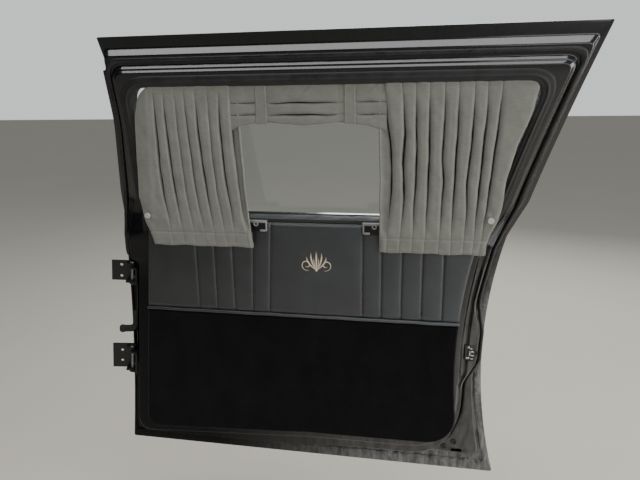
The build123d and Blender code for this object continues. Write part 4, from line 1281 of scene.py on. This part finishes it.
REAR_LINES = (
    (0, (1079, 731), (969, 734), (859, 737), (675, 738)),
    (4.4, (1079, 745), (994, 750), (942, 758), (880, 763), (821, 762), (763, 758), (721, 754), (671, 752)),
    (5.0, (1079, 781), (1021, 788), (963, 792), (890, 788), (852, 791), (810, 793), (763, 789), (709, 784),
     (671, 783)),
    (3.6, (1079, 813), (936, 819), (852, 819), (771, 816), (671, 813)),
    (3.6, (1079, 844), (928, 848), (828, 848), (671, 843)),
    (3.2, (1079, 877), (990, 880), (905, 878), (851, 883), (782, 881), (671, 876)),
    (3.6, (1079, 908), (975, 910), (844, 908), (671, 905)),
    (3.4, (1079, 941), (1005, 944), (921, 941), (851, 936), (790, 939), (671, 934)),
    (4.0, (1079, 969), (1013, 972), (917, 968), (828, 964), (759, 961), (671, 956)),
    (3.4, (1079, 1001), (963, 997), (875, 990), (794, 985), (671, 971)),
    (0, (1079, 1072), (1063, 1077), (1048, 1073), (1009, 1066), (936, 1040), (852, 1020), (790, 1016),
     (755, 1009), (728, 995), (701, 986), (671, 985)),
)
FRONT_PULL, REAR_PULL = (124, 750), (998, 761)  # where the studs pull at the cloth, as (x, z)
HEADING_Z = CLOTH_TOP_Z - 14  # seam of the heading
VALANCE_FOOT = np.array([  # (x, z) along the valance's lower edge
    (369, 969), (391, 978), (439, 988), (470, 988), (552, 981),
    (629, 987), (641, 988), (706, 980), (749, 967),
])
VALANCE_FIELDS = ((369, 438), (466, 634), (677, 749))  # (left, right) between curtains and straps
TUCK_Z = (1033.0, 1005.5)
STRAPS = ((437, 463), (651, 676))  # (left, right)


def pleated(lines, openings, floors, levels, lips, columns=24):
    """Places across a row of pleats, the cloth's depth and its shade there, one row for each height.

    Each line is a slit, open by its opening down to its floor. Between two slits the cloth lies at its
    level and rolls over a rounded lip into both.
    """
    share = (1 - np.cos(pi * np.linspace(0, 1, columns))) / 2
    lines, openings, floors, levels = (
        [line[:, None] for line in group] for group in (lines, openings, floors, levels)
    )
    pleats = []
    for index, flat in enumerate(levels):
        left, right = lines[index : index + 2]
        across = left + (right - left) * share
        left_fall = 1 - roll(np.clip(across - left - openings[index] / 2, 0, None), lips[1])
        right_fall = 1 - roll(np.clip(right - across - openings[index + 1] / 2, 0, None), lips[0])
        left_floor, right_floor = floors[index : index + 2]
        depth = flat + (left_floor - flat) * left_fall + (right_floor - flat) * right_fall
        shade = left_floor * left_fall + right_floor * right_fall
        last = columns if index == len(levels) - 1 else columns - 1
        pleats.append([part[:, :last] for part in (across, depth, shade)])
    return (np.concatenate(parts, 1) for parts in zip(*pleats))


def edge_x(edge, z, seed):
    """Smooth line through the rows of an edge, with a slow sway."""
    heights, across = np.array(edge[::-1], float).T
    fine = np.linspace(heights[0], heights[-1], 200)
    raw = np.interp(fine, heights, across)
    kernel = np.hanning(13)
    padded = np.concatenate([np.full(6, raw[0]), raw, np.full(6, raw[-1])])
    calm = np.convolve(padded, kernel / kernel.sum(), mode="valid")
    return np.interp(z, fine, calm) + 0.5 * waves(z, (90, 160), seed)


class DOOR_OT_curtains(DoorOperator):
    """Pleated curtains, the valance between them and its straps"""

    bl_idname = "door.curtains"
    bl_label = "Curtains"

    def execute(self, context):
        settings = context.scene.door_curtains
        cloth = curtain_cloth(tuple(settings.cloth))
        self.curtain("front_curtain", FRONT_LINES, settings, cloth, (0.45, 0.41))
        self.curtain("rear_curtain", REAR_LINES, settings, cloth, (0.5, 0.41))
        self.valance(settings, cloth)
        return {"FINISHED"}

    def curtain(self, node, rows, settings, cloth, flat):
        """Flat pleats with slits between them that open below the heading and close above the hem."""
        front = node == "front_curtain"
        z = np.linspace(CLOTH_TOP_Z, CLOTH_HEM_Z, 190)
        seam = CLOTH_HEM_Z + settings.hem
        lines = [edge_x(line[1:], z, 50 + index) for index, line in enumerate(rows)]
        wide = ramp_up(z, 752, 850) * (1 - ramp_up(z, 945, 1035))
        fall = ramp_up(z, seam + 2, seam + 75) * (1 - ramp_up(z, 1000, HEADING_Z))
        least = 0.07 if front else 0.16
        openings, floors = [], []
        for index, (width, *_) in enumerate(rows):
            openings.append(width * wide * (0.75 + 0.25 * waves(z, (61, 97, 143), 60 + index)))
            most = min(1.0, 0.35 + width / 4)
            floors.append(settings.depth * (least + (most - least) * fall) if width else 2.4 + 0 * z)
        levels = [0 * z for _ in rows[1:]]
        levels[-1 if front else 0] = 7.5 * ramp_up(z, seam, seam + 30) + 1.5 * ramp_up(z, 960, 985)
        x, depth, shade = pleated(lines, openings, floors, levels, (6, 11) if front else (8, 12))
        height = z[:, None] + 0 * x
        y = cloth_back(height) - 3 - settings.depth + depth
        if front:
            flap = np.interp(height, (704, 760, 850, 980, 1068), (128, 134, 141, 147, 152)) - x
            y = y + 5.5 * ramp_up(flap, -6, 34) * ramp_up(height, seam, seam + 60) - 1.3 * bell(flap, -8, 7)
        y = y + self.sewing(height, seam) + self.creases(x, height, FRONT_PULL if front else REAR_PULL)
        height = height + 1.6 * waves(x, (120, 71), 83) * ramp_up(CLOTH_HEM_Z + 60 - height, 0, 60)
        points = xyz(x, y, height)
        fold = [points[-1] + np.array([0, *move]) for move in ((0.9, -0.9), (2.2, -0.6), (2.8, 1), (2.8, 12))]
        points = self.turned_back(np.concatenate([points, np.array(fold)]), front)
        # Mask: painted shade in the slits, from their depth.
        mask = np.pad(0.97 * ramp_up(shade, 3, 9), ((0, 4), (8, 8)))
        run = np.linalg.norm(np.diff(points, axis=1), axis=-1)
        along = np.concatenate([np.zeros((len(points), 1)), np.cumsum(run, 1)], 1)
        shell = surface(points, uv=np.stack([along, points[..., 2]], -1) / 1000)
        piece = make(f"{node}_cloth", [shell], cloth, replaces=(node,), crease=180, mask=mask)
        self.thicken(piece, settings)

    def sewing(self, height, seam):
        """Steps and ridges where the hem and the heading are sewn."""
        hem = -1.0 * ramp_up(seam - height, -1.5, 2) + 1.3 * bell(height, seam, 1.8)
        return hem + 0.7 * bell(height, HEADING_Z, 1.6) - 0.7 * ramp_up(CLOTH_HEM_Z + 9 - height, 0, 3)

    def creases(self, x, height, pull):
        """Slow sway of the cloth, and five creases that run out from the stud."""
        sway = 0.4 * waves(x * 1.3 + height * 0.8, (37, 53, 91), 81)
        sway = sway + 0.3 * waves(height - x * 0.5, (29, 47), 82)
        reach, angle = np.hypot(x - pull[0], height - pull[1]), np.arctan2(height - pull[1], x - pull[0])
        return sway - 1.5 * np.exp(-reach / 26) * ramp_up(reach, 6, 14) * np.cos(5 * angle + 0.6)

    def turned_back(self, points, front):
        """Both free edges turned back behind the sheet in a half round, the inner one as a wider return."""
        def turn(edge, side, radius, length):
            """Half round and flat return behind one edge."""
            angle = np.linspace(0.25, pi, 6)
            half_round = np.stack([side * radius * np.sin(angle), radius * (1 - np.cos(angle))], -1)
            flat = np.array([[-side * length / 2, 2 * radius + 0.6], [-side * length, 2 * radius + 0.4]])
            moves = np.concatenate([half_round, flat])
            return edge[:, None] + xyz(*moves.T, 0)

        wide, narrow = (2.6, 16), (2.2, 7)
        left = turn(points[:, 0], -1, *(narrow if front else wide))[:, ::-1]
        right = turn(points[:, -1], 1, *(wide if front else narrow))
        return np.concatenate([left, points, right], 1)

    def thicken(self, piece, settings):
        """Gives the sheet its thickness."""
        solid = piece.modifiers.new("cloth", "SOLIDIFY")
        solid.thickness = settings.thickness / 1000
        solid.offset = 0

    def valance(self, settings, cloth):
        """Band between the curtains with two lens-shaped tucks in each of its three fields."""
        x = np.linspace(VALANCE_FOOT[0, 0], VALANCE_FOOT[-1, 0], 240)
        low = np.interp(x, *VALANCE_FOOT.T)
        swelling = []
        for left, right in VALANCE_FIELDS:
            swelling.append(np.sqrt(np.clip(1 - ((2 * x - left - right) / (right - left)) ** 2, 0, 1)))
        lens = sum(size * part for size, part in zip((1.3, 3.2, 1.1), swelling))
        held = np.clip(sum(swelling), 0, 1)
        tucks = (1.2 * waves(x, (160, 90), 91) - TUCK_Z[0], 1.2 * waves(x, (130, 75), 92) - TUCK_Z[1])
        tuck = 1.2 + held * np.interp(x, (369, 397, 406, 714, 723, 749), (1, 1.8, 7, 7, 1.8, 1))
        floors = [2 + 0 * x, tuck, tuck, 2.4 + 0 * x]
        openings = [0 * x, lens, lens * 1.1, 0 * x]
        lines = [0 * x - CLOTH_TOP_Z, *tucks, -low]
        down, depth, shade = pleated(lines, openings, floors, [0 * x] * 3, (7, 9), 26)
        z = -down
        x, held = x[:, None] + 0 * z, held[:, None]
        y = cloth_back(z) - 9.6 - 2.0 * held + depth
        y = y + 0.7 * waves(x + 0.6 * z, (47, 83, 139), 93) * held
        y = y + 0.8 * waves(x - 1.1 * z, (17, 26, 37), 94) * held * ramp_up(z, 1030, CLOTH_TOP_Z)
        points = xyz(x, y, z)
        # Mask: painted shade in the tucks, from their depth.
        mask = 0.97 * ramp_up(shade / tuck[:, None], 0.5, 0.95) * ((z > 995) & (z < 1045)) * held
        band = make("valance_cloth", [hung(points)], cloth, replaces=("valance",), crease=180,
                    mask=mask)
        self.thicken(band, settings)
        straps = [self.strap(*sides, seed) for sides, seed in zip(STRAPS, (94, 95))]
        ties = make("valance_straps", straps, cloth, crease=180)
        self.thicken(ties, settings)

    def strap(self, left, right, seed):
        """Narrow band lying flat on the valance, its sewn sides a little raised and its foot turned under."""
        across = np.linspace(-1, 1, 25)[None]
        run = np.linspace(0, 1, 60)[:, None]
        z = CLOTH_TOP_Z - 1 - 91 * np.minimum(run / 0.94, 1)
        under = np.clip((run - 0.94) / 0.06, 0, 1)
        x = (left + right) / 2 + 0.6 * waves(z, (60, 110), seed) + (right - left) / 2 * across
        sewn = 0.5 * bell(np.abs(across), 0.86, 0.06) - 0.9 * ramp_up(np.abs(across), 0.93, 1)
        y = cloth_back(z) - 11.3 - sewn + 0.3 * waves(z + 4 * across, (19, 33), seed + 2)
        return hung(xyz(x, y + 3.4 * np.sin(under * pi / 2), z - 2 * np.sin(under * pi)))


# Small fittings

def dress(material, *names):
    """Gives CAD nodes that keep their shape a finish."""
    for name in names:
        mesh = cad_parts[name].data
        mesh.materials.clear()
        mesh.materials.append(material)


def centre(node):
    """Middle of a node's box in door axes."""
    return from_frame(np.mean(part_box(node), 0))


class DOOR_OT_fittings(DoorOperator):
    """Press studs, sill clips, latch, plugs, hinges, wiring boot, glass and outer handle"""

    bl_idname = "door.fittings"
    bl_label = "Fittings"

    def execute(self, context):
        plastic = moulded_plastic("black_plastic", (0.012, 0.012, 0.013), 0.42)
        zinc = steel("latch_steel", (0.07, 0.07, 0.072), 0.42, 0.7, 0.5)
        bright = steel("claw_chrome", (0.62, 0.63, 0.64), 0.2, 1.0, 0.25)
        self.press_studs()
        self.sill_clips(plastic)
        self.latch(zinc, bright)
        self.plugs()
        self.hinges()
        self.wiring(plastic)
        self.handle(plastic)
        dress(clear_glass(), "window_glass")
        dress(moulded_plastic("curtain_board", (0.02, 0.02, 0.02), 0.6), "curtain_rail")
        return {"FINISHED"}

    def press_studs(self):
        """Pale caps with a rolled rim and a shallow dish."""
        cap = moulded_plastic("snap_cap", (0.42, 0.41, 0.37), 0.35)
        profile = [
            (6.6, 0), (7.4, 0.5), (7.5, 1.6), (7.0, 2.7), (6.0, 3.3), (5.0, 3.1), (4.4, 2.7), (3.4, 2.8),
            (1.6, 3.2), (0.1, 3.3),
        ]
        lean = 15 / (CLOTH_TOP_Z - CLOTH_HEM_Z)
        for node in ("front_snap", "rear_snap"):
            stud = revolve(profile, 32, centre(node) + (0, 1, 0), (0, -1, -lean))
            make(f"{node}_cap", [stud], cap, replaces=(node,), crease=60)

    def sill_clips(self, plastic):
        """Bracket on the sill: a dark box under a pale rail with a side arm, a ring and a small tab."""
        pale = steel("clip_rail", (0.27, 0.27, 0.26), 0.45, 0.3, 0.1)
        levels = [(0.6, 0), (0, 0.6), (0, 5.4), (0.7, 6.2)]
        for node, side in (("front_belt_clip", 1), ("rear_belt_clip", -1)):
            x = centre(node)[0]
            back = plate(rounded_box(44, 27, 2), [(0, 0), (0, 2.2), (0.5, 2.8)], (x, -8.6, SILL - 12))
            box = [back, self.window_rim((x, -11.2, SILL - 12))]
            make(f"{node}_moulding", box, plastic, replaces=(node,), crease=45)
            rails = [
                plate(rounded_box(49, 6.5, 1.4), levels, (x, -9.0, SILL + 3.5)),
                plate(rounded_box(3.6, 24, 1.2), levels, (x + side * 22, -9.0, SILL - 10)),
                plate(rounded_box(15, 5, 1), levels, (x + side * 13, -10.5, SILL - 20)),
                self.hoop((x - side * 5, -12.5, SILL - 3)),
            ]
            make(f"{node}_bracket", rails, pale, crease=50)

    def hoop(self, middle):
        """Ring: a closed profile of (radius, height) turned about an axis that faces inboard."""
        profile = [(3.2, 0), (6.4, 0), (6.6, 1.8), (6.0, 3.0), (5.0, 3.4), (3.8, 3.0), (3.2, 1.8)]
        radius, height = np.array(profile).T
        angle = circle(32)[:, None]
        points = xyz(radius * np.cos(angle), -height, radius * np.sin(angle))
        return wrapped(points + np.array(middle))

    def window_rim(self, middle):
        """Raised rounded frame: a half-round profile of (outline, height) with a flat back."""
        outer, inner = rounded_box(42, 25, 2.5), rounded_box(36, 19, 1.5)
        profile = [(outer, 0), (outer, 1.3), ((outer + inner) / 2, 2), (inner, 1.4), (inner, -1), (outer, -1)]
        return wrapped(np.array([raised(flat, height, middle) for flat, height in profile]))

    def latch(self, zinc, bright):
        """Latch with its two screws and the small bright plates of its fork."""
        dress(zinc, "latch_housing")
        dress(bright, "latch_claw")
        head = [(3.4, 0), (3.4, 0.5), (2.6, 1.4), (1.2, 1.8), (0.1, 1.9)]
        shells = [revolve(head, 20, (966, 14.0, LATCH_Z + rise)) for rise in (15, -15)]
        make("latch_screws", shells, bright, crease=60)
        levels = [(0.4, 0), (0, 0.5), (0, 3), (0.5, 3.6)]
        fork = (  # (x, y, height over the latch's middle, width, height)
            (974, 12.6, 5, 11, 3.2), (969, 12.6, 0, 3.4, 12), (975, 12.6, -5.5, 9, 2.6),
            (961.5, 13, -13, 3, 5), (972, 13, 13, 6, 2.6), (974, 13, -15, 7, 2.4),
        )
        jaws = []
        for x, y, rise, wide, tall in fork:
            jaws.append(plate(rounded_box(wide, tall, 1.1), levels, (x, y, LATCH_Z + rise)))
        make("latch_fork", jaws, bright, crease=50)

    def plugs(self):
        """Rubber plugs of the drain and wax holes at the lower rear corner."""
        profile = [(8.5, -1), (8.5, 0.4), (7.6, 1.2), (6.4, 1.5), (5.6, 1.0), (4.8, 0.6), (0.1, 0.5)]
        shells = [revolve(profile, 28, place) for place in ((943, 39.5, 112), (916, 39.5, 96))]
        make("drain_plugs", shells, bpy.data.materials["moulded_rubber"], crease=60)

    def hinges(self):
        """Dark leaves, bare pins and the bolts that hold the door leaves."""
        forged = steel("hinge_steel", (0.03, 0.031, 0.033), 0.32, 0.6, 0.35)
        leaves = [f"{place}_hinge_{side}_leaf" for place in ("upper", "lower") for side in ("door", "pillar")]
        dress(forged, *leaves)
        dress(steel("pin_steel", (0.3, 0.3, 0.31), 0.35, 1.0, 0.4), "upper_hinge_pin", "lower_hinge_pin")
        lean = Matrix.Rotation(PIN_LEAN, 3, "Y")
        axis = lean @ Vector((-1, 0, 0))
        washer = [(8, 0), (8, 1.4), (7.4, 1.7), (4, 1.7)]
        head = [(6.4, 1.6), (6.6, 2.2), (6.6, 6.2), (5.8, 7.0), (0.1, 7.0)]
        shells = []
        for height in (0, PIN_PITCH / cos(PIN_LEAN)):
            for side in (-19, 9):
                middle = np.array(lean @ Vector((22, side, height))) + LOWER_PIN
                shells += [revolve(washer, 28, middle, axis), revolve(head, 6, middle, axis)]
        make("hinge_bolts", shells, forged, crease=25)

    def wiring(self, plastic):
        """Corrugated boot: a tube whose radius ripples along its bent path, with a collar at its free end."""
        top, corner, end = np.array([(30.9, 36, 452), (24.9, 36, 396), (-27.0, 42, 389)])
        first, last = corner + (top - corner) * 0.45, corner + (end - corner) * 0.45
        curve = bend(first, corner, last, np.linspace(0, 1, 40)[:, None])
        path = np.concatenate([np.linspace(top, first, 24)[:-1], curve, np.linspace(last, end, 24)[1:]])
        run = run_along(path)
        fine = np.linspace(0, run[-1], 220)
        path = np.stack([np.interp(fine, run, part) for part in path.T], -1)
        ripple = 8.6 + 1.6 * np.abs(np.sin(pi * fine / 6.2)) ** 0.7
        collar = ramp_up(fine, fine[-1] - 7, fine[-1] - 6)
        boot = cord(path, ripple * (1 - collar) + 11.6 * collar, 26)
        make("corrugated_boot", [boot], bpy.data.materials["moulded_rubber"],
             replaces=("wiring_boot",))
        dress(plastic, "harness_strip")

    def handle(self, plastic):
        """Finishes of the outer handle, its bezel, and the sill's plated moulding, rubber lip and rail."""
        plated = steel("bright_trim", (0.7, 0.71, 0.72), 0.12, 1.0, 0.08)
        dress(plated, "outer_handle", "outer_belt_moulding")
        dress(plastic, "handle_bezel")
        dress(bpy.data.materials["moulded_rubber"], "inner_belt_seal")
        dress(bpy.data.materials["door_enamel"], "belt_rail")


# Panel and running

class DOOR_PT_panel(bpy.types.Panel):
    """Lists the making steps and their settings"""

    bl_label = "Curtained Car Door"
    bl_idname = "DOOR_PT_panel"
    bl_space_type = "VIEW_3D"
    bl_region_type = "UI"
    bl_category = "Door"

    def draw(self, context):
        for group in SETTINGS:
            settings = getattr(context.scene, group)
            for name in settings.bl_rna.properties.keys():
                if name not in ("rna_type", "name"):
                    self.layout.prop(settings, name)
        for operator in OPERATORS:
            self.layout.operator(operator.bl_idname)


SETTINGS = {
    "door_pressing": PressingSettings, "door_trim": TrimSettings, "door_curtains": CurtainSettings,
    "door_stage": StageSettings,
}
OPERATORS = (
    DOOR_OT_stage, DOOR_OT_pressing, DOOR_OT_skin, DOOR_OT_rubber, DOOR_OT_trim, DOOR_OT_ornament,
    DOOR_OT_curtains, DOOR_OT_fittings,
)


def register():
    """Makes the settings, operators and panel known."""
    for group, kind in SETTINGS.items():
        bpy.utils.register_class(kind)
        setattr(bpy.types.Scene, group, bpy.props.PointerProperty(type=kind))
    for kind in (*OPERATORS, DOOR_PT_panel):
        bpy.utils.register_class(kind)


def unregister():
    """Takes them away again."""
    for kind in (DOOR_PT_panel, *reversed(OPERATORS)):
        bpy.utils.unregister_class(kind)
    for group, kind in SETTINGS.items():
        delattr(bpy.types.Scene, group)
        bpy.utils.unregister_class(kind)


def main():
    """Makes every piece in order."""
    register()
    for operator in OPERATORS:
        group, name = operator.bl_idname.split(".")
        getattr(getattr(bpy.ops, group), name)()


if __name__ == "__main__":
    main()
